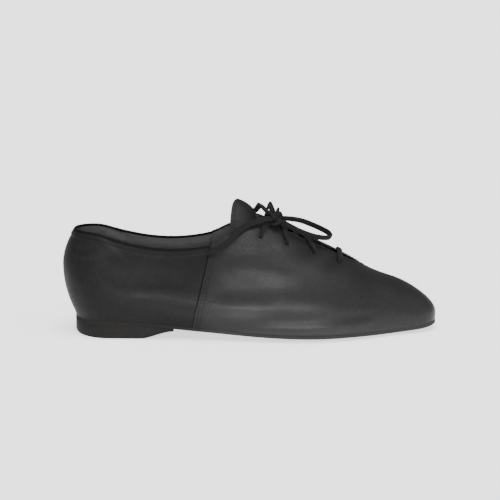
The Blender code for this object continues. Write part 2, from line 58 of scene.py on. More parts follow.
import bmesh
import bpy
import numpy as np
from bpy.props import FloatProperty, FloatVectorProperty, PointerProperty
from bpy.types import Operator, Panel, PropertyGroup
from mathutils import Vector

MM = 0.001
LATERAL = -1.0
MEDIAL = 1.0
SIDES = (LATERAL, MEDIAL)
WHITE = (1.0, 1.0, 1.0, 1.0)
# Lengths below which a direction or a gap counts as none. Then, in metres, how near points of a mesh are
# merged and how short an edge is dropped, and the decimals that are kept of a size.
LEAST_LENGTH = 1e-9
LEAST_GAP = 1e-6
WELD = 0.00001
SLIVER = 0.000002
SIZE_DIGITS = 4

# The last, as in the solids. "Along" is counted from the heel's back to the toe's tip.
LENGTH = 262.0
HEEL_CENTRE = 33.0
TOE_CENTRE = 232.0
TOE_TAPER = 0.42
FOREFOOT_STATIONS = np.arange(150.0, 200.0)
WALL_COLUMNS = ("along", "spine", "lateral", "medial", "tuck_lateral", "tuck_medial", "bulge", "crown", "bow")
WALL_ROWS = (
    (33.0, 0.0, 31.0, 31.0, 5.0, 5.0, 31.0, 2.15, 1.8),
    (60.0, 0.0, 31.5, 30.5, 4.5, 5.5, 30.0, 2.10, 1.6),
    (85.0, 0.2, 33.0, 31.0, 4.0, 7.0, 29.0, 1.85, 1.4),
    (104.0, 0.6, 35.5, 32.0, 3.8, 8.0, 27.0, 1.30, 1.2),
    (122.0, 1.0, 38.5, 34.0, 3.6, 7.5, 25.0, 0.88, 1.1),
    (145.0, 1.5, 42.0, 37.0, 3.5, 5.5, 21.0, 0.70, 1.0),
    (170.0, 2.0, 43.5, 40.5, 3.5, 4.0, 18.0, 0.64, 1.0),
    (188.0, 2.8, 41.5, 41.5, 3.3, 3.5, 16.0, 0.62, 1.0),
    (204.0, 3.8, 37.0, 39.0, 3.0, 3.2, 15.0, 0.60, 1.0),
    (218.0, 4.9, 31.5, 34.0, 2.7, 3.0, 14.0, 0.57, 1.0),
    (232.0, 6.0, 25.5, 26.5, 2.5, 2.6, 13.0, 0.52, 1.0),
)
HEEL_BACK = {"tuck": 9.2, "bulge": 48.0, "crown": 2.15, "bow": 2.0}
TOE_TIP = {"tuck": 0.7, "bulge": 12.0, "crown": 0.50, "bow": 1.0}
CREST_ROWS = ((0.0, 118.0), (33.0, 118.0), (70.0, 113.0), (100.0, 107.0), (121.0, 99.5), (134.0, 93.0),
              (145.0, 85.5), (160.0, 75.5), (175.0, 66.5), (188.0, 59.5), (200.0, 52.8), (214.0, 44.5),
              (232.0, 37.2), (262.0, 27.0))
FEATHER_ROWS = ((0.0, 12.5), (33.0, 12.6), (54.0, 12.0), (71.0, 10.8), (88.0, 9.3), (112.0, 7.6),
                (140.0, 5.9), (168.0, 5.0), (205.0, 4.7), (225.0, 4.6), (245.0, 5.2), (255.0, 6.0),
                (262.0, 7.2))
TOPLINE_ROWS = ((9.0, 73.5), (25.0, 72.0), (43.0, 67.2), (60.0, 63.8), (80.0, 62.6), (92.0, 63.6),
                (104.0, 66.0), (116.0, 72.0), (130.0, 78.5), (138.0, 84.0), (150.0, 98.0))
THROAT_ROWS = ((120.0, 16.0), (138.0, 14.5), (156.0, 12.0), (175.0, 9.5), (190.0, 7.5), (199.0, 5.8))
THROAT_END = 205.0
CORNER_SOFTNESS = 4.0
FAN_RIM_SHARE = 0.7
NUDGE = 0.05

# The upper's side seam, its top band and its eyelets, as in the solids but for the groove, roll and dents.
JOIN = 0.35
SEAM_ALONG = 104.0
SEAM_HEIGHT = 64.0
SEAM_LEAN = 0.22
SEAM_LEAN_REACH = 55.0
LAP_STEP = 0.7
LAP_FADE = 14.0
LAP_EDGE = 0.5
SEAM_CLEAR = 0.3
SEAM_GROOVE = {"behind": 0.75, "depth": 0.3, "width": 0.5}
BAND_ANGLE = 3.6
BAND_STEP = 0.4
BAND_ROLL = 0.15
BAND_EDGE = {"past": 0.4, "ramp": 0.5}
BAND_ROOM = 0.6
EYELETS = ((138.4, 23.6), (156.6, 21.5), (175.5, 18.6), (192.7, 16.5))
EYELET_BORE = 3.2
EYELET_FACETS = 28
EYELET_CUT_DEPTH = 9.0
EYELET_DENT = 0.35
EYELET_DENT_REACH = 3.4
EYELET_SHARP = 60.0

# Fineness of the upper: (from, to, step) of the stations down one side, and rows up the wall.
STATION_RUNS = ((230.4, 207.0, 1.7), (206.6, 197.0, 0.6), (196.0, 140.0, 1.5), (139.0, 122.0, 0.9),
                (121.0, 108.5, 1.3), (108.0, 102.8, 0.4), (102.0, 34.0, 1.6))
FAN_TURNS = 26
FOOT_ROWS = 14
WALL_STEPS = 40
BAND_STEPS = 7
RIM_STEPS = 6
RIM_ROUND = 0.6
HEM_ROWS = 5
LINING_EVERY = 2
BINDING_ROWS = 3
BINDING_INSIDE = 1
# How far the upper's foot settles and flares into the sole, and over how many rows.
FOOT_SETTLE = 0.4
FOOT_FLARE = 0.5
FOOT_SETTLE_ROWS = 4
# Numbers of the upper's finishes and of the outsole's, in the order that each is given them.
VAMP, LINING, QUARTER, BINDING = range(4)
NAP, DYED = range(2)

# Soft creases of the worn leather on the lateral side, each from one place to another: (along, height,
# to along, to height, depth, width). A negative depth is a trough, a positive one a ridge.
CREASE_ROWS = (
    (106.0, 59.5, 146.0, 64.0, -1.1, 5.0),
    (108.0, 49.0, 180.0, 51.0, 0.35, 7.0),
    (100.0, 39.5, 224.0, 38.5, -1.1, 7.0),
    (80.0, 24.0, 142.0, 23.5, 2.1, 6.5),
    (146.0, 25.0, 216.0, 27.0, 0.3, 6.5),
    (112.0, 16.0, 216.0, 17.5, -0.8, 3.6),
    (126.0, 9.0, 212.0, 11.0, 1.1, 3.6),
    (44.0, 30.0, 100.0, 28.0, 1.7, 8.0),
    (40.0, 44.0, 98.0, 42.0, -0.9, 8.0),
    (10.5, 61.0, 29.0, 62.0, -0.9, 2.0),
    (12.0, 57.5, 31.0, 58.5, 0.8, 2.2),
    (23.0, 66.0, 40.0, 57.0, -1.0, 2.2),
    (26.0, 69.0, 43.0, 60.0, 0.9, 2.2),
    (25.0, 53.0, 40.0, 41.0, -0.7, 3.5),
    (62.0, 57.0, 84.0, 53.0, -0.3, 3.0),
    (107.0, 60.0, 118.0, 47.0, -0.5, 3.0),
)
CREASE_ENDS = (0.12, 0.88)
CREASE_POWER = 0.8
CREASE_FADE_ROWS = 4.0
MEDIAL_CREASES = 0.75
MEDIAL_CREASE_SHIFT = 5.0
FOLD_FULL = 1.2
# Patches, on both sides, of fine crumpled grain that is also painted lighter as a highlight, of leather
# rubbed pale partly by wear and partly as painted highlights, and of painted shade under the lace: (along,
# height, half length, half height, strength).
CRUMPLE_ROWS = ((128.0, 65.0, 11.0, 7.0, 1.0), (144.0, 64.0, 9.0, 6.0, 0.6), (103.0, 26.0, 8.0, 4.0, 0.7))
RUBBED_AND_HIGHLIGHT_ROWS = ((174.0, 48.0, 18.0, 8.0, 0.6), (127.0, 21.5, 14.0, 5.5, 0.9), (176.0, 13.0, 20.0, 3.0, 0.4),
               (33.0, 62.0, 6.0, 3.5, 0.35))
SHADE_ROWS = ((172.0, 60.0, 12.0, 8.0, 1.0), (188.0, 51.0, 13.0, 7.0, 1.0))
SEAM_SHADE = {"groove": 0.45, "fade": 22.0, "strength": 0.8}
LEDGE = {"strength": 0.85, "full_lean": 0.3, "least_step": 0.1, "from_height": 22.0, "fade": 6.0}

# The tongue, as in the solids, with more room at its edges for the lace that runs under the facings.
TONGUE_TOP = 122.6
TONGUE_TOP_DROP = 6.0
TONGUE_SHOULDER = 0.35
TONGUE_TOE = 213.0
TONGUE_THICK = 1.5
TONGUE_WIDTH_ROWS = ((110.0, 23.0), (121.0, 23.0), (150.0, 22.0), (190.0, 16.5), (213.0, 11.0))
TONGUE_EDGE = {"top": 0.5, "room": 1.5, "from": 122.0, "over": 12.0}
TONGUE_BEVEL = {"width": 0.4, "segments": 3}
TONGUE_ROUND = 7.0
TONGUE_LIFT_ROWS = ((110.0, 3.0), (124.0, 3.0), (138.0, 0.0), (213.0, 0.0))
TONGUE_ROOM_ROWS = ((110.0, 0.8), (122.0, 0.8), (133.0, 1.2), (146.0, 6.0), (156.0, 5.2), (170.0, 3.8),
                    (185.0, 2.8), (196.0, 1.2), (205.0, 0.6), (213.0, 0.5))
TONGUE_LENGTH_STEPS = 64
TONGUE_WIDTH_STEPS = 22

# The soles and the heel, as in the solids, with softened edges.
SOLE = 2.4
SOLE_LIP = 0.6
CROWN_ROWS = ((0.0, 0.4), (60.0, 0.6), (90.0, 1.6), (120.0, 2.6), (150.0, 3.2), (200.0, 3.2), (225.0, 2.8),
              (245.0, 1.8), (262.0, 0.8))
SOLE_CROWN_POWER = 2.2
SLAB_SHARES = np.concatenate((np.linspace(0.0, 0.9, 10), [0.95, 0.98]))
EDGE_BEND = 0.3
SOLE_EDGE_TOP = 0.15
SOLE_EDGE_FOOT = 0.35
SOLE_EDGE_HEEL = 0.08
SOLE_SHADE = {"from": 76.0, "to": 118.0, "strength": 1.05}
INSOLE_EDGE = 0.6
SOLE_STATION_STEP = 3.0
SOLE_FAN_TURNS = 20
STATION_CLEAR = 1.0
INSOLE = 1.8
INSOLE_MARGIN = 2.4
HEEL_FRONT = 78.0
HEEL_BREAST = 54.0
HEEL_EDGE_TOP = 0.08
HEEL_CHAMFER = 0.6
HEEL_BACK_CHAMFER = 2.4
HEEL_TOE_EDGE = 0.5
HEEL_STATION_STEP = 1.5
HEEL_SHARP = 50.0

# The lace. A route is a list of (along, across from the spine, lift off the last), lateral side negative.
LACE_POINTS_ROUND = 16
LACE_SQUARENESS = 2.6
LACE_STEP = 0.7
LACE_SUBSTEPS = 12
LACE_SETTLE = 0.9
LACE_SETTLE_LIFT = 2.0
BRAID_PULL = 0.35
LACE_GATHER = {"hold": 1.0, "over": 4.5}
LACE_GATHERED = {"width": 2.8, "thick": 2.1}
BAR_ROUTE = ((183.5, 9.0, -3.1), (188.6, -9.6, -3.0), (191.6, -14.6, -2.9), (192.7, -16.5, -2.0),
             (192.8, -16.4, 0.6), (193.0, -14.6, 2.1), (193.2, -8.4, 2.1), (193.6, 0.0, 0.9),
             (193.2, 8.4, 2.1), (193.0, 14.6, 2.1), (192.8, 16.4, 0.6), (192.7, 16.5, -2.0),
             (191.6, 14.6, -2.9), (187.8, 9.6, -3.2), (183.5, -9.0, -3.9))
# Routes that run on both sides of the foot, given for the lateral side.
CROSS_ROUTES = {
    "lace_cross_front": ((178.0, -14.6, -2.9), (175.8, -18.0, -2.4), (175.5, -18.5, 0.4), (174.8, -16.8, 2.1),
                         (173.2, -13.5, 2.1), (171.0, -9.4, 2.0), (166.0, 0.0, -2.4), (162.4, 8.4, -3.0),
                         (160.4, 13.6, -3.0), (157.6, 19.6, -2.8)),
    "lace_cross_top": ((158.6, -17.4, -3.0), (156.8, -20.8, -2.4), (156.6, -21.4, 0.4), (156.2, -19.6, 2.1),
                       (155.4, -16.5, 2.1), (154.4, -11.4, 2.0), (152.5, 0.0, -3.0), (150.9, 9.6, -3.3),
                       (147.0, 15.0, -3.2), (141.0, 20.4, -2.8)),
}
# A crossing's two runs pass each other: below the last, the first is lifted and the second let down.
CROSS_OVER = 0.9
CROSS_UNDER = -0.36
LEAD_ROUTE = ((139.8, -20.4, -2.9), (138.6, -23.0, -2.4), (138.4, -23.5, 0.4), (139.0, -21.8, 2.1),
              (140.6, -18.4, 2.1), (142.6, -15.0, 2.1), (144.2, -12.4, 2.6))
KNOT = {"along": 147.0, "across": -11.0, "lift": 3.7, "length": 11.5, "width": 13.0, "height": 6.2}
KNOT_MIDDLE = (KNOT["along"], KNOT["across"], KNOT["lift"])
KNOT_STEPS = 96
KNOT_CURVE_REACH = 2.6
KNOT_LACE = {"width": 3.4, "thick": 1.8}
# Share of the way to the knot's middle that the loops and ends are drawn into it.
KNOT_HOLD = 0.55
CORD_ROUTES = {
    "lace_loop_lateral": ((151.9, -12.5, 5.9), (156.0, -13.0, 6.4), (163.0, -12.8, 6.4), (172.0, -11.4, 6.8),
                          (179.5, -8.4, 7.4), (184.0, -3.8, 7.8), (181.6, 0.4, 8.4), (172.5, -0.4, 8.4),
                          (163.5, -3.2, 8.0), (156.5, -6.8, 7.2), (151.8, -9.0, 6.1)),
    "lace_loop_medial": ((148.2, -4.4, 5.0), (148.6, 2.0, 3.8), (148.8, 8.0, 3.6), (149.2, 13.0, 4.8),
                         (150.2, 19.0, 5.7), (151.2, 25.0, 5.4), (149.1, 27.3, 5.2), (145.6, 28.0, 5.2),
                         (142.1, 27.3, 5.2), (140.0, 25.0, 5.6), (140.6, 19.0, 5.8), (141.6, 13.0, 5.4),
                         (142.2, 7.0, 4.2), (142.8, 1.0, 4.2), (143.9, -4.9, 5.0)),
    "lace_end_lateral": ((142.0, -14.5, 5.6), (139.2, -15.8, 5.4), (136.0, -17.3, 4.6), (132.6, -18.9, 3.4),
                         (129.0, -20.4, 2.5), (124.5, -22.3, 2.3), (120.5, -24.2, 2.3), (116.0, -26.0, 2.3),
                         (111.0, -27.1, 2.3), (105.0, -27.1, 2.7), (101.0, -27.1, 2.3)),
    "lace_end_medial": ((140.6, -7.8, 3.6), (138.6, -4.0, 2.0), (138.2, 2.0, -0.6), (136.8, 8.6, 0.4),
                        (134.4, 14.4, 2.6), (130.0, 17.8, 2.4), (124.0, 20.6, 2.3), (117.0, 22.6, 2.3),
                        (111.0, 24.4, 2.4), (104.5, 25.6, 2.8)),
}
LACE_TIP = {"length": 9.0, "taper": 3.0, "width": 2.6, "thick": 2.0}

# Rows of stitches: millimetres in from an edge, or degrees down a column of the upper.
TOP_ROW_ANGLE = 3.0
TOP_ROW_CLEAR = 0.6
SEAM_ROWS = (1.4, 3.6)
SEAM_ROW_LEVELS = (-82.0, 0.4)
SEAM_ROW_STEPS = 80
FACING_ROW = 2.6
FACING_ROW_CLEAR = 1.0
TONGUE_ROW = 3.0
TONGUE_ROW_LINES = {"from": 14, "gauge": 8}
BARTACK = {"along": 209.5, "half": 2.6, "rows": (0.0, 0.7), "steps": 9}
STITCH_LIFT = 0.08
STITCH_BALL = {"Segments": 6, "Rings": 5, "Radius": 0.5}

# The camera, in metres and degrees, and the soft light.
CAMERA_TARGET = (0.0, 0.0, 0.057)
CAMERA_DISTANCE = 1.7
CAMERA_ELEVATION = 12.2
CAMERA_LENS = 174.7
CAMERA_SENSOR = 36.0
FLOOR_HALF = 9.0
LIGHTS = {
    "overhead": {"tilt": 12.0, "turn": 0.0, "spread": 40.0},
    "front": {"tilt": 86.0, "turn": 0.0, "spread": 36.0},
    "toe_side": {"tilt": 55.0, "turn": 65.0, "spread": 50.0},
}

# Leather-like finishes: grain scale, grain depth in metres, least and greatest roughness, wear and gloss.
Finish = namedtuple("Finish", "pebble depth smooth rough wear gloss")
FINISHES = {
    "vamp_leather": Finish(1500.0, 0.0002, 0.40, 0.48, 0.35, 0.22),
    "quarter_leather": Finish(1500.0, 0.0002, 0.5, 0.6, 0.25, 0.09),
    "rim_binding": Finish(1700.0, 0.0002, 0.65, 0.75, 0.4, 0.05),
    "tongue_skin": Finish(1700.0, 0.0002, 0.42, 0.55, 0.4, 0.12),
    "napped_sole": Finish(2200.0, 0.0003, 0.75, 0.9, 0.7, 0.1),
    "dyed_edge": Finish(1200.0, 0.0002, 0.6, 0.75, 0.4, 0.08),
    "heel_rubber": Finish(2600.0, 0.00012, 0.6, 0.7, 0.3, 0.08),
}
SLACK_SCALE = 70.0
GRAIN = {"pore_scale": 0.45, "pore_detail": 3.0, "pore_rough": 0.6, "pebble": 0.5, "pore": 0.5, "wave": 1.6,
         "wave_detail": 2.0}
CRUMPLE_SCALE = 480.0
CRUMPLE_STRAY = {"scale": 260.0, "reach": 0.006, "detail": 2.0}
CRUMPLE_EDGE = 0.3
CRUMPLE_DEPTH = 4.0
WEAR = {"patch_detail": 4.0, "scuff_scale": 14.0, "scuff_detail": 5.0, "scuff_rough": 0.7, "from": 0.18,
        "to": 0.45}
WEAR_PATCH = 26.0
TONE_RANGE = (0.3, 0.7)
# Share of the worn colour painted on the folds' ridges, as wear and as a painted highlight, and on crumpled
# grain as a painted highlight; then how far the shade mark darkens and dulls, how much the ridges are
# polished, and the deep tone that the shade mark darkens to.
RIDGE_WEAR_AND_HIGHLIGHT = 0.2
CRUMPLE_HIGHLIGHT = 0.5
SHADE_TONE = 0.7
SHADE_DULL = 0.5
RIDGE_POLISH = 0.8
DEEP_TONE = 0.4
# Cloths: threads to the metre and roughness. Then what they share, and the braid, the thread and the floor.
Cloth = namedtuple("Cloth", "threads roughness")
CLOTHS = {"soft_lining": Cloth(900.0, 0.8), "insole_cloth": Cloth(1000.0, 0.85)}
CLOTH = {"patch": 40.0, "wear": 0.6, "dark": 0.6, "depth": 0.00012, "strength": 0.8}
# The braid's low and high tones paint shade in the dips between its threads and a highlight on their crowns.
BRAID = {"along": 620.0, "round": 8.0, "full": 0.5, "low": 0.45, "high": 1.5, "depth": 0.0003,
         "strength": 0.9}
BRAID_SHINE = {"Roughness": 0.85, "Specular IOR Level": 0.15, "Sheen Weight": 0.02, "Sheen Roughness": 0.5}
THREAD = {"patch": 60.0, "wear": 0.6}
THREAD_SHINE = {"Roughness": 0.8, "Specular IOR Level": 0.08}
FLOOR = {"cloud": 3.0, "detail": 2.0, "dim": 0.985}
FLOOR_SHINE = {"Roughness": 0.9, "Specular IOR Level": 0.1, "Emission Color": WHITE}

Columns = namedtuple("Columns", "side along x y aim_x aim_y reach tuck feather bulge crown bow top")
UpperGrid = namedtuple("UpperGrid", "columns angles outer normals rim inner closed folds")


# Properties


def length_property(name, description, default, low, high):
    """Size in metres that a user may change."""
    return FloatProperty(name=name, description=description, default=default, min=low, max=high,
                         unit="LENGTH")


def colour_property(name, description, default):
    """Colour that a user may change."""
    return FloatVectorProperty(name=name, description=description, default=default, size=3, min=0.0, max=1.0,
                               subtype="COLOR")


def strength_property(name, description, default, high):
    """Strength of a light that a user may change."""
    return FloatProperty(name=name, description=description, default=default, min=0.0, max=high)


class JazzShoeSizes(PropertyGroup):
    """Sizes that a user would change."""

    wall: length_property("Leather", "Thickness of the upper with its lining", 0.0016, 0.0008, 0.003)
    creases: FloatProperty(name="Creases", description="How deep the creases of wear are", default=1.0,
                           min=0.0, max=2.0, subtype="FACTOR")
    lace_width: length_property("Lace width", "Width of the flat braid", 0.0042, 0.002, 0.008)
    lace_thick: length_property("Lace thickness", "Thickness of the flat braid", 0.0016, 0.0008, 0.003)
    stitch: length_property("Stitch", "Length of one stitch", 0.0019, 0.001, 0.005)
    stitch_pitch: length_property("Stitch pitch", "Distance from stitch to stitch", 0.0025, 0.0012, 0.006)
    thread: length_property("Thread", "Thickness of the sewing thread", 0.00045, 0.0002, 0.001)


class JazzShoeColours(PropertyGroup):
    """Colours of the finishes."""

    leather: colour_property("Leather", "Black leather of the vamp", (0.0076, 0.0076, 0.0081))
    quarter: colour_property("Quarter", "Duller leather of the quarters", (0.0066, 0.0066, 0.007))
    binding: colour_property("Binding", "Matt edge of the top line", (0.005, 0.005, 0.0053))
    # The worn colour is also the colour of the painted highlights on the vamp and the quarters.
    worn: colour_property("Worn leather", "Leather where it is rubbed", (0.022, 0.0217, 0.0218))
    lining: colour_property("Lining", "Soft lining of the upper", (0.12, 0.117, 0.117))
    insole: colour_property("Insole", "Cloth of the insole", (0.03, 0.029, 0.029))
    sole: colour_property("Sole", "Napped leather of the outsole", (0.009, 0.0082, 0.0078))
    sole_edge: colour_property("Sole edge", "Dyed edge of the outsole", (0.030, 0.0262, 0.0245))
    heel: colour_property("Heel", "Rubber of the heel", (0.0105, 0.0103, 0.0101))
    lace: colour_property("Lace", "Cotton of the lace", (0.0055, 0.0055, 0.0059))
    thread: colour_property("Thread", "Sewing thread", (0.007, 0.007, 0.0074))


class JazzShoeStage(PropertyGroup):
    """Floor and light."""

    floor: colour_property("Floor", "Pale floor", (0.86, 0.86, 0.86))
    glow: strength_property("Glow", "Light of the floor itself, as on a light table", 1.3, 10.0)
    overhead: strength_property("Overhead", "Strength of the soft light from above", 3.2, 20.0)
    front: strength_property("Front", "Strength of the soft light from the front", 4.0, 20.0)
    toe_side: strength_property("Toe side", "Strength of the soft light from the toe's side", 0.6, 20.0)
    sky: strength_property("Sky", "Strength of the even light from all round", 0.35, 5.0)


GROUPS = {
    "jazz_shoe_sizes": JazzShoeSizes,
    "jazz_shoe_colours": JazzShoeColours,
    "jazz_shoe_stage": JazzShoeStage,
}


# The last


def unit(vectors):
    """Vectors of length one."""
    return vectors / np.maximum(np.linalg.norm(vectors, axis=-1, keepdims=True), LEAST_LENGTH)


def ease(share):
    """Smooth step from 0 to 1."""
    share = np.clip(share, 0.0, 1.0)
    return share * share * (3.0 - 2.0 * share)


def blend(start, end, share):
    """Value a share of the way from start to end."""
    return start + (end - start) * share


def line_value(rows, along):
    """Values along the foot of a smooth line through a table's points."""
    places, values = np.array(rows).T
    slopes = np.gradient(values, places)
    along = np.asarray(along, float)
    step = np.clip(np.searchsorted(places, along) - 1, 0, len(places) - 2)
    span = places[step + 1] - places[step]
    t = np.clip((along - places[step]) / span, 0.0, 1.0)
    start = (1.0 + 2.0 * t) * (1.0 - t) ** 2 * values[step] + t * (1.0 - t) ** 2 * span * slopes[step]
    end = t * t * (3.0 - 2.0 * t) * values[step + 1] - t * t * (1.0 - t) * span * slopes[step + 1]
    return start + end


def wall_value(name, along):
    """One named value of the wall table along the foot."""
    column = WALL_COLUMNS.index(name)
    return line_value([(row[0], row[column]) for row in WALL_ROWS], along)


def sided_value(lateral, medial, along, side):
    """A wall value along the foot that has a column of its own for either side."""
    return np.where(np.asarray(side) < 0.0, wall_value(lateral, along), wall_value(medial, along))


def half_width(along, side):
    """Half width of the last at its bulge, on either side."""
    return sided_value("lateral", "medial", along, side)


def feather_tuck(along, side):
    """How far the feather edge tucks in under the bulge, on either side."""
    return sided_value("tuck_lateral", "tuck_medial", along, side)


def half_gap(along):
    """Half width of the throat between the facings, closed in a round end towards the toe."""
    straight_end, end_width = THROAT_ROWS[-1]
    share = np.clip((along - straight_end) / (THROAT_END - straight_end), 0.0, 1.0)
    round_end = end_width * np.sqrt(1.0 - share ** 2)
    return np.where(along <= straight_end, line_value(THROAT_ROWS, along), round_end)


def soft_least(first, second, softness):
    """The smaller of two values, with the corner between them rounded off."""
    gap = np.maximum(softness - np.abs(first - second), 0.0) / softness
    return np.minimum(first, second) - gap * gap * softness / 4.0


def top_angle(rim_along, crest_along, reach, bulge, crown):
    """Angle on a column where the upper is cut off: by the top line, by the facing, or not at all."""
    rise = (line_value(TOPLINE_ROWS, rim_along) - bulge) / (line_value(CREST_ROWS, crest_along) - bulge)
    by_topline = np.degrees(np.arcsin(np.minimum(rise, 1.0)))
    by_throat = np.degrees(np.arccos((half_gap(crest_along) / reach) ** (0.5 / crown)))
    return np.where(crest_along >= THROAT_END, 90.0, soft_least(by_topline, by_throat, CORNER_SOFTNESS))


def side_columns(along, side):
    """Columns in planes across the foot, on one side of the spine."""
    along, side = np.broadcast_arrays(np.asarray(along, float), np.asarray(side, float))
    reach = half_width(along, side)
    bulge = wall_value("bulge", along)
    crown = wall_value("crown", along)
    return Columns(side, along, along, wall_value("spine", along), np.zeros_like(along), side, reach,
                   feather_tuck(along, side), line_value(FEATHER_ROWS, along), bulge, crown,
                   wall_value("bow", along), top_angle(along, along, reach, bulge, crown))


def fan_columns(centre, length, taper, tip, side, turns):
    """Columns of the heel's or the toe's fan. A turn of 0 looks to the side, 90 straight to the end."""
    swing = np.radians(turns)
    along = np.full_like(swing, centre)
    ahead = abs(length) * np.sin(swing)
    aside = half_width(along, side) * np.cos(swing) - taper * ahead * (1.0 - np.sin(swing))
    reach = np.hypot(ahead, aside)
    aim_x = math.copysign(1.0, length) * ahead / reach
    share = aim_x ** 2
    tuck = blend(feather_tuck(along, side), tip["tuck"], share)
    bulge = blend(wall_value("bulge", along), tip["bulge"], share)
    crown = blend(wall_value("crown", along), tip["crown"], share)
    feather = line_value(FEATHER_ROWS, centre + aim_x * (reach - tuck))
    top = top_angle(centre + FAN_RIM_SHARE * aim_x * reach, along, reach, bulge, crown)
    return Columns(np.full_like(swing, side), along, along, wall_value("spine", along), aim_x,
                   side * aside / reach, reach, tuck, feather, bulge, crown,
                   blend(wall_value("bow", along), tip["bow"], share), top)


def heel_columns(side, turns):
    """Columns round one side of the heel."""
    return fan_columns(HEEL_CENTRE, -HEEL_CENTRE, 0.0, HEEL_BACK, side, turns)


def toe_columns(side, turns):
    """Columns round one side of the toe."""
    return fan_columns(TOE_CENTRE, LENGTH - TOE_CENTRE, TOE_TAPER, TOE_TIP, side, turns)


def joined(parts):
    """Several sets of columns as one."""
    return Columns(*(np.concatenate(values) for values in zip(*parts)))


def columns_round(stations, turn_count):
    """Columns in order from the toe's tip down the lateral side, round the heel and back up."""
    turns = np.linspace(0.0, 90.0, turn_count + 1)
    return joined([toe_columns(LATERAL, turns[::-1]), side_columns(stations, LATERAL),
                   heel_columns(LATERAL, turns), heel_columns(MEDIAL, turns[-2::-1]),
                   side_columns(stations[::-1], MEDIAL), toe_columns(MEDIAL, turns[:-1])])


def last_points(columns, angles):
    """Points of the last on columns: an angle of -90 is the feather edge, 0 the bulge and 90 the crest."""
    swing = np.radians(angles)
    cosine = np.maximum(np.cos(swing), 0.0)
    low = columns.reach - columns.tuck * (1.0 - cosine ** columns.bow)
    high = columns.reach * cosine ** (2.0 * columns.crown)
    reach = np.where(angles < 0.0, low, high)
    crest = line_value(CREST_ROWS, columns.x + columns.aim_x * reach)
    span = np.where(angles < 0.0, columns.bulge - columns.feather, crest - columns.bulge)
    return np.stack((columns.x + columns.aim_x * reach, columns.y + columns.aim_y * reach,
                     columns.bulge + span * np.sin(swing)), axis=-1)


def wall_points(columns, angles):
    """Points of the last on columns that lean back as the side seam does."""
    spread = Columns(*(value[:, None] for value in columns))
    points = last_points(spread, angles)
    near = ease(1.0 - np.abs(spread.along - SEAM_ALONG) / SEAM_LEAN_REACH) * (spread.aim_x == 0.0)
    shift = -SEAM_LEAN * np.maximum(SEAM_HEIGHT - points[..., 2], 0.0) * near
    leaning = last_points(side_columns(spread.along + shift, spread.side), angles)
    return np.where((shift != 0.0)[..., None], leaning, points)


def surface_frames(along, across):
    """Points of the last above the bulge, and the ways out of it, at half widths from the spine."""
    along = np.asarray(along, float)
    across = np.asarray(across, float)
    side = np.where(across < 0.0, LATERAL, MEDIAL)
    reach = np.maximum(np.abs(across), NUDGE)

    def point(station, half):
        columns = side_columns(station, side)
        angle = np.degrees(np.arccos(np.minimum(half / columns.reach, 1.0) ** (0.5 / columns.crown)))
        return last_points(columns, angle)

    here = point(along, reach)
    down = point(along, reach + NUDGE) - here
    ahead = point(along + NUDGE, reach) - here
    out = np.cross(down, ahead) * -side[..., None]
    out[np.abs(across) <= NUDGE, 1] = 0.0
    return here, unit(out)


def plan_middle():
    """Middle of the last's greatest width, which the part's frame stands over."""
    spine = wall_value("spine", FOREFOOT_STATIONS)
    lateral = spine - wall_value("lateral", FOREFOOT_STATIONS)
    medial = spine + wall_value("medial", FOREFOOT_STATIONS)
    return (lateral.min() + medial.max()) / 2.0


FRAME_ORIGIN = np.array((LENGTH / 2.0, plan_middle(), 0.0))


def place(points):
    """Points of the last in the part's own frame, in metres."""
    return (points - FRAME_ORIGIN) * MM


# Meshes


def grid_faces(count, rows, closed_round, closed_rows):
    """Corner numbers of the quads between neighbouring lines of a grid."""
    lines = np.arange(count if closed_round else count - 1)
    steps = np.arange(rows if closed_rows else rows - 1)
    here, up = np.meshgrid(lines, steps, indexing="ij")
    beside = (here + 1) % count
    above = (up + 1) % rows
    corners = (here * rows + up, here * rows + above, beside * rows + above, beside * rows + up)
    return np.stack(corners, axis=-1)


def end_caps(count, rows, first=0):
    """Corner numbers of the two faces that close a run of lines at its ends."""
    last = first + (count - 1) * rows
    return [tuple(range(first, first + rows)), tuple(range(last + rows - 1, last - 1, -1))]


@contextmanager
def editing(mesh):
    """The mesh opened for editing, and written back at the end."""
    bm = bmesh.new()
    bm.from_mesh(mesh)
    yield bm
    bm.to_mesh(mesh)
    bm.free()


def add_object(name, data):
    """Object of a mesh, a light or a camera in the scene."""
    item = bpy.data.objects.new(name, data)
    bpy.context.scene.collection.objects.link(item)
    return item


def add_piece(name, points, faces, materials, face_materials=None, corner_uvs=None, marks=None):
    """Smooth mesh object from points in metres, welded where its lines meet, with named marks per point."""
    mesh = bpy.data.meshes.new(name)
    mesh.from_pydata(points.reshape(-1, 3).tolist(), [], [tuple(face) for face in faces])
    for material in materials:
        mesh.materials.append(material)
    if face_materials is not None:
        mesh.polygons.foreach_set("material_index", np.asarray(face_materials, np.int32))
    for mark, values in (marks or {}).items():
        attribute = mesh.attributes.new(mark, "FLOAT", "POINT")
        attribute.data.foreach_set("value", np.asarray(values, np.float32).ravel())
    if corner_uvs is not None:
        layer = mesh.uv_layers.new(name="run")
        layer.data.foreach_set("uv", np.asarray(corner_uvs, np.float32).ravel())
    with editing(mesh) as bm:
        bmesh.ops.remove_doubles(bm, verts=bm.verts, dist=WELD)
        bmesh.ops.dissolve_degenerate(bm, edges=bm.edges, dist=SLIVER)
    mesh.shade_smooth()
    return add_object(name, mesh)


def made_plain(item):
    """Replaces an object's mesh by its evaluated one, and drops its modifiers."""
    bpy.context.view_layer.update()
    graph = bpy.context.evaluated_depsgraph_get()
    mesh = bpy.data.meshes.new_from_object(item.evaluated_get(graph), depsgraph=graph)
    item.modifiers.clear()
    old = item.data
    item.data = mesh
    bpy.data.meshes.remove(old)
    return item


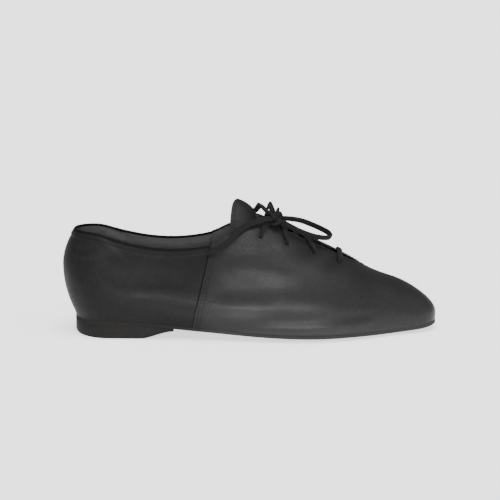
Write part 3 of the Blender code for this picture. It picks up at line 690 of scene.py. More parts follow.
def seat(item, slot, *nodes):
    """The piece rides on the shoe's one body and stands for its solids."""
    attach(item, "root")
    if nodes:
        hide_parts(*nodes)
    return item


# The upper


def upper_stations():
    """Stations down one side of the upper, closer together at the seam, the corner and the throat's end."""
    return np.concatenate([np.arange(start, end, -step) for start, end, step in STATION_RUNS])


def crease_lift(points, sides, strength):
    """How far the creases of wear lift or sink each point of the upper, by its distance seen sideways."""
    lift = np.zeros(points.shape[:2])
    medial = (MEDIAL, strength * MEDIAL_CREASES, MEDIAL_CREASE_SHIFT)
    for side, share, shift in ((LATERAL, strength, 0.0), medial):
        own = sides == side
        along = points[own][..., 0] - shift
        height = points[own][..., 2]
        for start, low, end, high, depth, width in CREASE_ROWS:
            run = (along - start) * (end - start) + (height - low) * (high - low)
            run = np.clip(run / ((end - start) ** 2 + (high - low) ** 2), 0.0, 1.0)
            away = (along - blend(start, end, run)) ** 2 + (height - blend(low, high, run)) ** 2
            weight = np.sin(np.pi * blend(*CREASE_ENDS, run)) ** CREASE_POWER
            lift[own] += depth * share * weight * np.exp(-away / width ** 2)
    return lift


def leather_relief(columns, angles, rows_from_foot):
    """Steps of the leather at the side seam's lap and along the top band, and the seam's groove."""
    past_seam = (columns.along - SEAM_ALONG)[:, None]
    on_side = (columns.aim_x == 0.0)[:, None]
    behind = past_seam < -SEAM_CLEAR
    fade = np.clip(1.0 - past_seam / LAP_FADE, 0.0, 1.0)
    lap = LAP_STEP * fade * ease((past_seam + LAP_EDGE) / LAP_EDGE) * on_side
    below_rim = columns.top[:, None] - angles
    band = BAND_STEP * ease((BAND_ANGLE + BAND_EDGE["past"] - below_rim) / BAND_EDGE["ramp"]) * behind
    middle = 0.5 * BAND_ANGLE
    roll = BAND_ROLL * ease(1.0 - np.abs(below_rim - middle) / middle) * behind
    edge = (past_seam + SEAM_GROOVE["behind"]) / SEAM_GROOVE["width"]
    groove = SEAM_GROOVE["depth"] * np.exp(-edge * edge) * on_side
    return np.maximum(lap * np.minimum(rows_from_foot / FOOT_ROWS, 1.0), band + roll) - groove


def eyelet_frames():
    """Middle of each eyelet on the last, and the way out of the leather there."""
    for along, half in EYELETS:
        for side in SIDES:
            here, out = surface_frames([along], [side * half])
            yield here[0], out[0]


def eyelet_dents(points):
    """The leather sinks a little round each punched eyelet."""
    dent = np.zeros(points.shape[:2])
    for here, _ in eyelet_frames():
        away = ((points - here) ** 2).sum(axis=2)
        dent -= EYELET_DENT * np.exp(-away / EYELET_DENT_REACH ** 2)
    return dent


def grid_normals(points):
    """Outward directions of a grid that runs right round the foot."""
    ahead = np.roll(points, 1, axis=0) - np.roll(points, -1, axis=0)
    up = np.gradient(points, axis=1)
    return unit(-np.cross(up, ahead))


def upper_angles(columns):
    """Angles of the upper's rows on each column: the foot, the wall, and closer rows on the top band."""
    low = np.linspace(-90.0, 0.0, FOOT_ROWS, endpoint=False)[None, :] * np.ones((len(columns.along), 1))
    band_low = (columns.top - BAND_ANGLE - BAND_ROOM)[:, None]
    middle = band_low * np.linspace(0.0, 1.0, WALL_STEPS + 1)[None, :]
    high = band_low + (columns.top[:, None] - band_low) * np.linspace(0.0, 1.0, BAND_STEPS + 1)[None, 1:]
    return np.concatenate((low, middle, high), axis=1)


def rolled_rim(outer, under, normals, closed, wall):
    """Points of the half round that joins the outside and the inside along the rim."""
    swing = np.linspace(0.0, np.pi, RIM_STEPS + 2)[1:-1]
    onward = unit(outer[:, -1] - outer[:, -2])[:, None, :] * (~closed)[:, None, None] * RIM_ROUND
    centre = (outer[:, -1] + under[:, -1])[:, None, :] / 2.0
    return centre + 0.5 * wall * (np.cos(swing)[None, :, None] * normals[:, -1][:, None, :]
                                  + np.sin(swing)[None, :, None] * onward)


@lru_cache(maxsize=None)
def upper_grid(wall, creases):
    """Points of the upper's outside, its rolled rim and its inside, in the last's millimetres."""
    columns = columns_round(upper_stations(), FAN_TURNS)
    count = len(columns.along)
    angles = upper_angles(columns)
    points = wall_points(columns, angles)
    closed = columns.top >= 90.0
    partner = (count - np.arange(count)) % count
    pole = columns.along == TOE_CENTRE

    def even(normals):
        crest = unit(normals[:, -1] + normals[partner, -1])
        crest[pole] = unit(crest[pole].mean(axis=0))
        normals[closed, -1] = crest[closed]
        return normals

    normals = even(grid_normals(points))
    rows_from_foot = np.arange(angles.shape[1])[None, :]
    lift = leather_relief(columns, angles, rows_from_foot) + eyelet_dents(points)
    wear = crease_lift(points, columns.side, creases)
    lift = lift + wear * ease(rows_from_foot / CREASE_FADE_ROWS)
    lift[:, -1] = np.where(closed, (lift[:, -1] + lift[partner, -1]) / 2.0, lift[:, -1])
    lift[pole, -1] = lift[pole, -1].mean()
    outer = points + normals * lift[..., None]
    normals = even(grid_normals(outer))
    under = outer - normals * wall
    near_sole = ease(1.0 - rows_from_foot / FOOT_SETTLE_ROWS)
    aims = np.stack((columns.aim_x, columns.aim_y, np.zeros(count)), axis=-1)
    settle = FOOT_FLARE * aims[:, None, :] - np.array((0.0, 0.0, FOOT_SETTLE))
    outer = outer + settle * near_sole[..., None]
    under = under + settle * near_sole[..., None]
    rim = rolled_rim(outer, under, normals, closed, wall)
    return UpperGrid(columns, angles, outer, normals, rim, under, closed, wear)


def patch_mask(points, rows):
    """Strength of a table's soft patches at each point of the outside."""
    mask = np.zeros(points.shape[:2])
    for along, height, half_length, half_height, strength in rows:
        away = ((points[..., 0] - along) / half_length) ** 2 + ((points[..., 2] - height) / half_height) ** 2
        mask = np.maximum(mask, strength * np.exp(-away))
    return mask


def seam_shade(columns):
    """Darkness of the side seam's groove, and of the vamp just ahead of it."""
    past_seam = columns.along - SEAM_ALONG
    groove = np.exp(-((past_seam + SEAM_GROOVE["behind"]) / SEAM_SHADE["groove"]) ** 2)
    ahead = SEAM_SHADE["strength"] * ease(1.0 - past_seam / SEAM_SHADE["fade"]) * (past_seam > 0.0)
    return np.maximum(groove, ahead) * (columns.aim_x == 0.0)


def ledge_shade(grid):
    """Painted shade on the upper flanks of the vamp's folds, which the material also dulls, by how far they
    lean.
    """
    up = np.gradient(grid.outer, axis=1)
    climb = np.maximum(np.linalg.norm(up, axis=2), LEDGE["least_step"])
    lean = -np.gradient(grid.folds, axis=1) / climb
    above = ease((grid.outer[..., 2] - LEDGE["from_height"]) / LEDGE["fade"])
    on_vamp = (grid.columns.along > SEAM_ALONG)[:, None]
    return LEDGE["strength"] * np.clip(lean / LEDGE["full_lean"], 0.0, 1.0) * above * on_vamp


def leather_sizes():
    """The upper's wall in millimetres and the depth of its creases."""
    sizes = bpy.context.scene.jazz_shoe_sizes
    return round(sizes.wall / MM, SIZE_DIGITS), round(sizes.creases, SIZE_DIGITS)


def build_upper(materials):
    """The leather upper with its rolled rim, its hem and its lining as one closed shell."""
    grid = upper_grid(*leather_sizes())
    outer_rows = grid.outer.shape[1]
    inner_rows = list(range(outer_rows - 1, outer_rows - 1 - HEM_ROWS, -1))
    inner_rows += list(range(inner_rows[-1] - LINING_EVERY, 0, -LINING_EVERY)) + [0]
    shell = np.concatenate((grid.outer, grid.rim, grid.inner[:, inner_rows]), axis=1)
    count, rows = shell.shape[:2]
    faces = grid_faces(count, rows, True, True)
    lining_from = outer_rows + RIM_STEPS + BINDING_INSIDE
    inside = np.arange(rows) >= lining_from
    behind_seam = (grid.columns.along < SEAM_ALONG - SEAM_CLEAR)[:, None]
    bound = np.arange(rows) >= outer_rows - BINDING_ROWS
    leather = np.where(behind_seam, np.where(bound, BINDING, QUARTER), VAMP)
    face_materials = np.where(inside[None, :], LINING, leather)
    # Painted shade under the lace, in the side seam's groove and on the folds' upper flanks, with the vamp
    # darker just ahead of the seam.
    shade = np.maximum(patch_mask(grid.outer, SHADE_ROWS), seam_shade(grid.columns)[:, None])
    marks = {
        # Crumpled grain, which the material also paints lighter as a highlight.
        "crumple": patch_mask(grid.outer, CRUMPLE_ROWS),
        "fold": np.clip(grid.folds / FOLD_FULL, -1.0, 1.0),
        # Rubbed patches: partly wear, partly painted highlights.
        "rubbed": patch_mask(grid.outer, RUBBED_AND_HIGHLIGHT_ROWS),
        "shade": np.maximum(shade, ledge_shade(grid)),
    }
    spare = ((0, 0), (0, rows - outer_rows))
    shut = grid.closed & np.roll(grid.closed, -1)
    on_rim = (np.arange(rows) >= outer_rows - 1) & (np.arange(rows) < outer_rows + RIM_STEPS)
    keep = ~(shut[:, None] & on_rim[None, :])
    return add_piece("upper_leather", place(shell), faces[keep], materials, face_materials[keep],
                     marks={name: np.pad(values, spare) for name, values in marks.items()})


def add_eyelet_cutter():
    """Round bores square to the leather, for the punched eyelets."""
    mesh = bpy.data.meshes.new("eyelet_bores")
    radius = EYELET_BORE * MM / 2.0
    with editing(mesh) as bm:
        for here, out in eyelet_frames():
            turn = Vector((0.0, 0.0, 1.0)).rotation_difference(Vector(out)).to_matrix().to_4x4()
            turn.translation = Vector(place(here))
            bmesh.ops.create_cone(bm, cap_ends=True, segments=EYELET_FACETS, radius1=radius, radius2=radius,
                                  depth=EYELET_CUT_DEPTH * MM, matrix=turn)
    return add_object("eyelet_bores", mesh)


def punch_eyelets(upper):
    """Cuts the eyelets through the facings."""
    bores = add_eyelet_cutter()
    cut = upper.modifiers.new("eyelets", "BOOLEAN")
    cut.operation = "DIFFERENCE"
    cut.solver = "EXACT"
    cut.object = bores
    made_plain(upper)
    bpy.data.objects.remove(bores, do_unlink=True)
    upper.data.shade_smooth()
    upper.data.set_sharp_from_angle(angle=math.radians(EYELET_SHARP))
    return upper


# The tongue and the soles


def tongue_points(along, across, spread, room):
    """Points a room below the last, with its ridge rounded off in the middle and the free end raised."""
    middle = 1.0 - spread * spread
    reach = np.hypot(across, TONGUE_ROUND * middle)
    here, out = surface_frames(along, np.where(across < 0.0, -reach, reach))
    out[..., 1] *= np.abs(across) / np.maximum(reach, LEAST_GAP)
    here[..., 1] = wall_value("spine", along) + across
    here[..., 2] += line_value(TONGUE_LIFT_ROWS, along) * middle
    return here - unit(out) * room[..., None]


def build_tongue(material):
    """The tongue, a curved leaf under the facings that comes out past their top."""
    share = np.linspace(0.0, 1.0, TONGUE_LENGTH_STEPS + 1)[:, None]
    spread = np.linspace(-1.0, 1.0, 2 * TONGUE_WIDTH_STEPS + 1)[None, :]
    drop = (1.0 + TONGUE_SHOULDER ** 2) * spread ** 2 / (spread ** 2 + TONGUE_SHOULDER ** 2)
    along = blend(TONGUE_TOP - TONGUE_TOP_DROP * drop, TONGUE_TOE, share)
    across = spread * line_value(TONGUE_WIDTH_ROWS, along)
    wall = leather_sizes()[0]
    past_top = ease((along - TONGUE_EDGE["from"]) / TONGUE_EDGE["over"])
    edge_room = blend(TONGUE_EDGE["top"], TONGUE_EDGE["room"], past_top)
    room = wall + blend(line_value(TONGUE_ROOM_ROWS, along), edge_room, spread * spread)
    points = tongue_points(along, across, spread, room)
    faces = grid_faces(*points.shape[:2], False, False)[..., ::-1].reshape(-1, 4)
    tongue = add_piece("tongue_leaf", place(points), faces, [material])
    thicken = tongue.modifiers.new("leaf", "SOLIDIFY")
    thicken.thickness = TONGUE_THICK * MM
    thicken.offset = -1.0
    soften = tongue.modifiers.new("edge", "BEVEL")
    soften.width = TONGUE_BEVEL["width"] * MM
    soften.segments = TONGUE_BEVEL["segments"]
    soften.limit_method = "ANGLE"
    return tongue, points


def sole_height(along, share):
    """Height of the outsole's underside: crowned across, and flat where it rests on the floor."""
    edge = line_value(FEATHER_ROWS, along) - JOIN - SOLE
    return np.maximum(edge - line_value(CROWN_ROWS, along) * (1.0 - np.abs(share) ** SOLE_CROWN_POWER), 0.0)


def sole_top(along, share):
    """Height of the outsole's upper face."""
    return sole_height(along, share) + SOLE


def plan_points(columns, share, margin):
    """Plan places a share of the way from the spine to a margin outside the feather edge."""
    reach = (columns.reach - columns.tuck + margin) * share
    return columns.x + columns.aim_x * reach, columns.y + columns.aim_y * reach


def slab_lines(columns, margin, low_at, high_at, round_top, round_foot):
    """Lines from the spine over a slab's top, down its rounded edge and back under it."""
    rim_x, _ = plan_points(columns, 1.0, margin)
    low = low_at(rim_x, 1.0)
    high = high_at(rim_x, 1.0)
    drop = np.minimum(round_top, (high - low) / 2.0)
    rise = np.minimum(round_foot, (high - low) / 2.0)

    def line(inset, height):
        x, y = plan_points(columns, 1.0, margin - inset)
        return np.stack((x, y, height), axis=-1)

    def level(share, inset, height_at):
        x, y = plan_points(columns, share, margin - inset)
        return np.stack((x, y, height_at(x, share)), axis=-1)

    lines = [level(share, 0.0, high_at) for share in SLAB_SHARES]
    lines.append(line(round_top, high))
    lines.append(line(EDGE_BEND * round_top, high - EDGE_BEND * drop))
    lines.append(line(0.0, high - drop))
    lines.append(line(0.0, low + rise))
    lines.append(line(EDGE_BEND * round_foot, low + EDGE_BEND * rise))
    lines += [level(share, round_foot, low_at) for share in SLAB_SHARES[::-1]]
    return np.stack(lines, axis=1)


def stations_back(start, step):
    """Stations from a place along the foot back to just ahead of the heel's fan."""
    return np.arange(start, HEEL_CENTRE + STATION_CLEAR, -step)


def sole_columns():
    """Columns round the whole sole."""
    return columns_round(stations_back(TOE_CENTRE - SOLE_STATION_STEP, SOLE_STATION_STEP), SOLE_FAN_TURNS)


def build_outsole(materials):
    """The thin outsole, with its dyed edge as a finish of its own, darker and sharper over the heel."""
    columns = sole_columns()
    over_heel = ease((SOLE_SHADE["to"] - columns.along) / (SOLE_SHADE["to"] - SOLE_SHADE["from"]))
    foot = blend(SOLE_EDGE_FOOT, SOLE_EDGE_HEEL, over_heel)
    lines = slab_lines(columns, SOLE_LIP, sole_height, sole_top, SOLE_EDGE_TOP, foot)
    count, rows = lines.shape[:2]
    faces = grid_faces(count, rows, True, False)[..., ::-1]
    row = np.arange(rows - 1)
    edge = (row >= len(SLAB_SHARES)) & (row < rows - len(SLAB_SHARES))
    shade = np.tile(SOLE_SHADE["strength"] * over_heel[:, None], (1, rows))
    return add_piece("outsole_leather", place(lines), faces.reshape(-1, 4), materials,
                     np.tile(np.where(edge, DYED, NAP), count), marks={"shade": shade})


def build_insole(material):
    """The insole, a cloth-covered sock that lies on the outsole inside the upper."""
    def low(along, share):
        return sole_top(along, share) + JOIN

    def high(along, share):
        return low(along, share) + INSOLE

    lines = slab_lines(sole_columns(), -INSOLE_MARGIN, low, high, INSOLE_EDGE, INSOLE_EDGE)
    faces = grid_faces(*lines.shape[:2], True, False)[..., ::-1].reshape(-1, 4)
    return add_piece("insole_sock", place(lines), faces, [material])


def heel_bottom(along):
    """Underside of the heel block: flat on the floor, then the sloping breast."""
    share = ease((along - HEEL_BREAST) / (HEEL_FRONT - HEEL_BREAST))
    top = sole_height(HEEL_FRONT, 1.0) - JOIN - HEEL_TOE_EDGE - line_value(CROWN_ROWS, HEEL_FRONT)
    return top * share


def build_heel(material):
    """The low heel block with its concave breast and a small chamfer round its foot."""
    def low(along, _):
        return heel_bottom(along)

    stations = stations_back(HEEL_FRONT, HEEL_STATION_STEP)
    turns = np.linspace(0.0, 90.0, SOLE_FAN_TURNS + 1)
    columns = joined([side_columns(stations, LATERAL), heel_columns(LATERAL, turns),
                      heel_columns(MEDIAL, turns[-2::-1]), side_columns(stations[::-1], MEDIAL)])
    chamfer = blend(HEEL_CHAMFER, HEEL_BACK_CHAMFER, columns.aim_x ** 2)
    lines = slab_lines(columns, SOLE_LIP, low, sole_height, HEEL_EDGE_TOP, chamfer)
    count, rows = lines.shape[:2]
    faces = [tuple(face) for face in grid_faces(count, rows, False, False)[..., ::-1].reshape(-1, 4)]
    heel = add_piece("heel_block", place(lines), faces + end_caps(count, rows), [material])
    heel.data.set_sharp_from_angle(angle=math.radians(HEEL_SHARP))
    return heel


# The lace


def lifted(route, extra=0.0):
    """Points of a route and the ways out of the last there, in millimetres, with the flat braid let down."""
    along, across, lift = np.array(route).T
    here, out = surface_frames(along, across)
    lift = lift - LACE_SETTLE * np.clip(lift / LACE_SETTLE_LIFT, 0.0, 1.0) + extra * (lift < 0.0)
    return here + out * lift[:, None], out


def rounded(stops):
    """Dense points of a smooth line through the stops."""
    padded = np.concatenate(([2.0 * stops[0] - stops[1]], stops, [2.0 * stops[-1] - stops[-2]]))
    t = (np.arange(LACE_SUBSTEPS) / LACE_SUBSTEPS)[:, None]
    runs = []
    for before, start, end, after in zip(padded, padded[1:], padded[2:], padded[3:]):
        bend = 2.0 * before - 5.0 * start + 4.0 * end - after
        twist = 3.0 * start - before - 3.0 * end + after
        runs.append(0.5 * (2.0 * start + (end - before) * t + bend * t ** 2 + twist * t ** 3))
    return np.concatenate(runs + [stops[-1:]])


def run_length(points):
    """Length of a line of points."""
    return float(np.linalg.norm(np.diff(points, axis=0), axis=1).sum())


def evenly(points, others):
    """A line of points, and what goes with each, again at even steps."""
    along = np.concatenate(([0.0], np.cumsum(np.linalg.norm(np.diff(points, axis=0), axis=1))))
    at = np.linspace(0.0, along[-1], int(along[-1] / LACE_STEP) + 2)

    def again(values):
        return np.stack([np.interp(at, along, values[:, axis]) for axis in range(values.shape[1])], axis=1)

    return again(points), again(others)


def braid_frames(points, outs):
    """Directions across a braid and out of its flat side, turned smoothly where it dives."""
    heading = unit(np.gradient(points, axis=0))
    flats = np.zeros_like(points)
    up = outs[0]
    for step, (way, out) in enumerate(zip(heading, outs)):
        carried = unit(up - way * (up @ way))
        wish = out - way * (out @ way)
        pull = BRAID_PULL * float(wish @ wish)
        up = unit(carried * (1.0 - pull) + unit(wish) * pull)
        flats[step] = up
    return np.cross(flats, heading), flats


def braid_rings(points, outs, width, thick):
    """Rings of the flat, slightly rounded section of the braid along a line."""
    across, up = braid_frames(points, outs)
    turn = np.linspace(0.0, 2.0 * np.pi, LACE_POINTS_ROUND, endpoint=False)
    power = 2.0 / LACE_SQUARENESS
    wide = np.sign(np.cos(turn)) * np.abs(np.cos(turn)) ** power / 2.0
    high = np.sign(np.sin(turn)) * np.abs(np.sin(turn)) ** power / 2.0
    return (points[:, None, :] + across[:, None, :] * (width[:, None] * wide[None, :])[..., None]
            + up[:, None, :] * (thick[:, None] * high[None, :])[..., None])


def braid_piece(name, runs, material, closed=False):
    """One mesh of several braided runs, each a (rings, length), with its own UV along and round it."""
    points = []
    faces = []
    uvs = []
    first = 0
    for rings, length in runs:
        count, rows = rings.shape[:2]
        quads = grid_faces(count, rows, closed, True)
        line, step = np.meshgrid(np.arange(len(quads)), np.arange(rows), indexing="ij")
        corner_u = np.stack((line, line, line + 1, line + 1), axis=-1) * length * MM / len(quads)
        corner_v = np.stack((step, step + 1, step + 1, step), axis=-1) / rows
        faces += [tuple(face) for face in (quads + first).reshape(-1, 4)]
        uvs.append(np.stack((corner_u, corner_v), axis=-1).reshape(-1, 2))
        if not closed:
            faces += end_caps(count, rows, first)
            uvs.append(np.zeros((2 * rows, 2)))
        points.append(rings.reshape(-1, 3))
        first += count * rows
    piece = add_piece(name, place(np.concatenate(points)), faces, [material], corner_uvs=np.concatenate(uvs))
    with editing(piece.data) as bm:
        bmesh.ops.recalc_face_normals(bm, faces=bm.faces)
    return piece


def lace_sizes():
    """Width and thickness of the braid in millimetres."""
    sizes = bpy.context.scene.jazz_shoe_sizes
    return sizes.lace_width / MM, sizes.lace_thick / MM


def gathered_sizes(points):
    """Widths and thicknesses of a run, drawn together where it goes through an eyelet."""
    width, thick = lace_sizes()
    nearest = np.full(len(points), np.inf)
    for here, _ in eyelet_frames():
        nearest = np.minimum(nearest, np.linalg.norm(points - here, axis=1))
    free = ease((nearest - LACE_GATHER["hold"]) / LACE_GATHER["over"])
    return blend(LACE_GATHERED["width"], width, free), blend(LACE_GATHERED["thick"], thick, free)


def laced_run(route, extra=0.0):
    """Rings and length of a run that goes through eyelets."""
    points, outs = lifted(route, extra)
    points, outs = evenly(rounded(points), rounded(outs))
    return braid_rings(points, unit(outs), *gathered_sizes(points)), run_length(points)


def mirrored(route):
    """The same route on the other side of the foot."""
    return [(along, -across, lift) for along, across, lift in route]


def knot_run():
    """Rings and length of the tied knot, a braid that passes over and under itself three times."""
    here, out = surface_frames([KNOT["along"]], [KNOT["across"]])
    up = out[0]
    side = unit(np.cross(up, np.array((1.0, 0.0, 0.0))))
    ahead = np.cross(side, up)
    turn = np.linspace(0.0, 2.0 * np.pi, KNOT_STEPS, endpoint=False)
    reach = [(KNOT[name] - KNOT_LACE["width"]) / 2.0 for name in ("length", "width")]
    rise = (KNOT["height"] - KNOT_LACE["thick"]) / 2.0
    forth = (np.sin(turn) + 2.0 * np.sin(2.0 * turn)) / KNOT_CURVE_REACH * reach[0]
    wide = (np.cos(turn) - 2.0 * np.cos(2.0 * turn)) / KNOT_CURVE_REACH * reach[1]
    high = -np.sin(3.0 * turn) * rise
    points = here[0] + up * KNOT["lift"] + forth[:, None] * ahead + wide[:, None] * side + high[:, None] * up
    looped = np.concatenate((points, points[:1]))
    outs = np.tile(up, (KNOT_STEPS, 1))
    width = np.full(KNOT_STEPS, KNOT_LACE["width"])
    thick = np.full(KNOT_STEPS, KNOT_LACE["thick"])
    return braid_rings(points, outs, width, thick), run_length(looped)


def build_lacing(material):
    """The bar, the crossings and the leads to the knot, each drawn through its eyelets."""
    seat(braid_piece("lace_bar_braid", [laced_run(BAR_ROUTE)], material), "lace_cotton", "lace_bar")
    for name, route in CROSS_ROUTES.items():
        runs = [laced_run(route, CROSS_OVER), laced_run(mirrored(route), CROSS_UNDER)]
        seat(braid_piece(name + "_braid", runs, material), "lace_cotton", name)
    leads = [laced_run([*route, KNOT_MIDDLE]) for route in (LEAD_ROUTE, mirrored(LEAD_ROUTE))]
    seat(braid_piece("lace_leads_braid", leads, material), "lace_cotton", "lace_knot")
    seat(braid_piece("lace_knot_braid", [knot_run()], material, closed=True), "lace_cotton", "lace_knot")


def tied(route, returns):
    """A route drawn on into the knot at its start, and at its end too where it comes back."""
    middle = np.array(KNOT_MIDDLE)
    first, last = (blend(np.array(stop), middle, KNOT_HOLD) for stop in (route[0], route[-1]))
    return [first] + list(route) + ([last] if returns else [])


def build_cord(name, route, material):
    """One free loop or end of the lace, as a braid of its own."""
    returns = "loop" in name
    points, outs = lifted(tied(route, returns))
    points, outs = evenly(rounded(points), rounded(outs))
    width, thick = lace_sizes()
    widths = np.full(len(points), width)
    thicks = np.full(len(points), thick)
    if returns:
        spokes = points - points.mean(axis=0)
        facing = unit(np.cross(spokes[:-1], spokes[1:]).sum(axis=0))
        outs = np.cross(facing, unit(np.gradient(points, axis=0)))
    else:
        to_end = run_length(points) * (1.0 - np.linspace(0.0, 1.0, len(points)))
        free = ease((to_end - LACE_TIP["length"]) / LACE_TIP["taper"])
        widths = blend(LACE_TIP["width"], widths, free)
        thicks = blend(LACE_TIP["thick"], thicks, free)
    rings = braid_rings(points, unit(outs), widths, thicks)
    piece = braid_piece(name + "_braid", [(rings, run_length(points))], material)
    seat(piece, "lace_cotton", name)
    path = place(points)
    run_length(path)


# Nodes


def feed(tree, sockets, values):
    """Sets named or numbered sockets to values, or links them to other nodes' outputs."""
    for name, value in values.items():
        if isinstance(value, bpy.types.NodeSocket):
            tree.links.new(value, sockets[name])
        else:
            sockets[name].default_value = value


def add_node(tree, kind, inputs=None, **settings):
    """Node with its settings and inputs."""
    node = tree.nodes.new(kind)
    for name, value in settings.items():
        setattr(node, name, value)
    feed(tree, node.inputs, inputs or {})
    return node


def math_node(tree, operation, *values):
    """Output of one sum, product or the like."""
    return add_node(tree, "ShaderNodeMath", dict(enumerate(values)), operation=operation).outputs["Value"]


def noise(tree, spot, scale, detail, roughness=0.5):
    """Cloudy noise at a place."""
    return add_node(tree, "ShaderNodeTexNoise", {"Vector": spot, "Scale": scale, "Detail": detail,
                                                 "Roughness": roughness})


# Stitches


def stitch_tree():
    """Geometry Nodes tree that lays stitches at an even pitch along lines that carry their way out."""
    tree = bpy.data.node_groups.new("stitch_run", "GeometryNodeTree")
    tree.interface.new_socket("Geometry", in_out="INPUT", socket_type="NodeSocketGeometry")
    for name in ("Pitch", "Length", "Thread"):
        tree.interface.new_socket(name, in_out="INPUT", socket_type="NodeSocketFloat")
    tree.interface.new_socket("Material", in_out="INPUT", socket_type="NodeSocketMaterial")
    tree.interface.new_socket("Geometry", in_out="OUTPUT", socket_type="NodeSocketGeometry")
    start = add_node(tree, "NodeGroupInput")
    line = add_node(tree, "GeometryNodeMeshToCurve", {"Mesh": start.outputs["Geometry"]})
    even = add_node(tree, "GeometryNodeResampleCurve", {"Curve": line.outputs["Curve"],
                                                        "Length": start.outputs["Pitch"]}, mode="LENGTH")
    out = add_node(tree, "GeometryNodeInputNamedAttribute", {"Name": "out"}, data_type="FLOAT_VECTOR")
    along = add_node(tree, "GeometryNodeInputTangent")
    turn = add_node(tree, "FunctionNodeAxesToRotation", {"Primary Axis": out.outputs["Attribute"],
                                                         "Secondary Axis": along.outputs["Tangent"]},
                    primary_axis="Z", secondary_axis="X")
    ball = add_node(tree, "GeometryNodeMeshUVSphere", STITCH_BALL)
    size = add_node(tree, "ShaderNodeCombineXYZ", {"X": start.outputs["Length"], "Y": start.outputs["Thread"],
                                                   "Z": start.outputs["Thread"]})
    grain = add_node(tree, "GeometryNodeTransform", {"Geometry": ball.outputs["Mesh"],
                                                     "Scale": size.outputs["Vector"]})
    laid = add_node(tree, "GeometryNodeInstanceOnPoints", {"Points": even.outputs["Curve"],
                                                           "Instance": grain.outputs["Geometry"],
                                                           "Rotation": turn.outputs["Rotation"]})
    real = add_node(tree, "GeometryNodeRealizeInstances", {"Geometry": laid.outputs["Instances"]})
    smooth = add_node(tree, "GeometryNodeSetShadeSmooth", {"Geometry": real.outputs["Geometry"]})
    finish = add_node(tree, "GeometryNodeSetMaterial", {"Geometry": smooth.outputs["Geometry"],
                                                        "Material": start.outputs["Material"]})
    add_node(tree, "NodeGroupOutput", {"Geometry": finish.outputs["Geometry"]})
    return tree


def upper_row(line_numbers, row_numbers):
    """Points and ways out on the upper's outside at fractional lines and rows of its grid."""
    grid = upper_grid(*leather_sizes())
    count, rows = grid.outer.shape[:2]
    line = np.floor(line_numbers).astype(int)
    row = np.clip(np.floor(row_numbers).astype(int), 0, rows - 2)
    u = (line_numbers - line)[:, None]
    v = (row_numbers - row)[:, None]

    def mix(values):
        here = blend(values[line % count, row], values[line % count, row + 1], v)
        beside = blend(values[(line + 1) % count, row], values[(line + 1) % count, row + 1], v)
        return blend(here, beside, u)

    return mix(grid.outer), unit(mix(grid.normals))


def row_at_angle(line_numbers, angles):
    """Fractional rows of the upper's grid that lie at given angles of its columns."""
    grid = upper_grid(*leather_sizes())
    return np.array([np.interp(angle, grid.angles[int(line)], np.arange(grid.angles.shape[1]))
                     for line, angle in zip(np.round(line_numbers), angles)])


def top_stitch_row():
    """Row along the top band, from the lateral seam round the heel to the medial one."""
    grid = upper_grid(*leather_sizes())
    behind = np.flatnonzero(grid.columns.along < SEAM_ALONG - TOP_ROW_CLEAR)
    rows = row_at_angle(behind, grid.columns.top[behind] - TOP_ROW_ANGLE)
    return upper_row(behind.astype(float), rows)


def facing_stitch_row(side):
    """Row that follows the front of the top line and the facing's edge to the throat's end."""
    grid = upper_grid(*leather_sizes())
    columns = grid.columns
    chosen = (columns.along > SEAM_ALONG + FACING_ROW_CLEAR) & (columns.along < THROAT_END + FACING_ROW)
    chosen = np.flatnonzero(chosen & (columns.aim_x == 0.0) & (columns.side == side))
    ordered = chosen[np.argsort(columns.along[chosen])]
    edge = grid.outer[chosen, -1][~grid.closed[chosen]]
    rows = []
    for line in ordered:
        away = np.linalg.norm(grid.outer[line][:, None, :] - edge[None, :, :], axis=2).min(axis=1)
        last = len(away) - 1
        inside = np.flatnonzero(away >= FACING_ROW)[-1]
        fall = max(away[inside] - away[min(inside + 1, last)], LEAST_GAP)
        rows.append(min(inside + (away[inside] - FACING_ROW) / fall, float(last)))
    return upper_row(ordered.astype(float), np.array(rows))


def seam_stitch_row(side, ahead):
    """Row down the side seam, a little ahead of the lap's edge."""
    grid = upper_grid(*leather_sizes())
    columns = grid.columns
    own = np.flatnonzero((columns.side == side) & (columns.aim_x == 0.0))
    order = own[np.argsort(columns.along[own])]
    line = float(np.interp(SEAM_ALONG + ahead, columns.along[order], order.astype(float)))
    top = columns.top[int(line)]
    angles = np.linspace(SEAM_ROW_LEVELS[0], top - SEAM_ROW_LEVELS[1], SEAM_ROW_STEPS)
    lines = np.full(len(angles), line)
    return upper_row(lines, row_at_angle(lines, angles))


def bartack_rows():
    """Short close rows across the ridge, just ahead of the throat."""
    across = np.linspace(-BARTACK["half"], BARTACK["half"], BARTACK["steps"])
    return [surface_frames(np.full_like(across, BARTACK["along"] + step), across) for step in BARTACK["rows"]]


def tongue_stitch_row(points):
    """Row round the tongue's free end."""
    up = unit(np.cross(np.gradient(points, axis=0), np.gradient(points, axis=1)))
    step = np.linalg.norm(points[1, TONGUE_WIDTH_STEPS] - points[0, TONGUE_WIDTH_STEPS])
    gauge = points[TONGUE_ROW_LINES["gauge"]]
    beside = np.linalg.norm(gauge[1] - gauge[0])
    inward = max(int(round(TONGUE_ROW / step)), 1)
    aside = max(int(round(TONGUE_ROW / beside)), 1)
    last = points.shape[1] - 1
    down = list(range(TONGUE_ROW_LINES["from"], inward, -1))
    walk = [(row, aside) for row in down] + [(inward, column) for column in range(aside, last - aside + 1)]
    walk += [(row, last - aside) for row in reversed(down)]
    spots = np.array([points[stop] for stop in walk])
    outs = np.array([up[stop] for stop in walk])
    return spots, outs * np.sign(outs[:, 2:3])


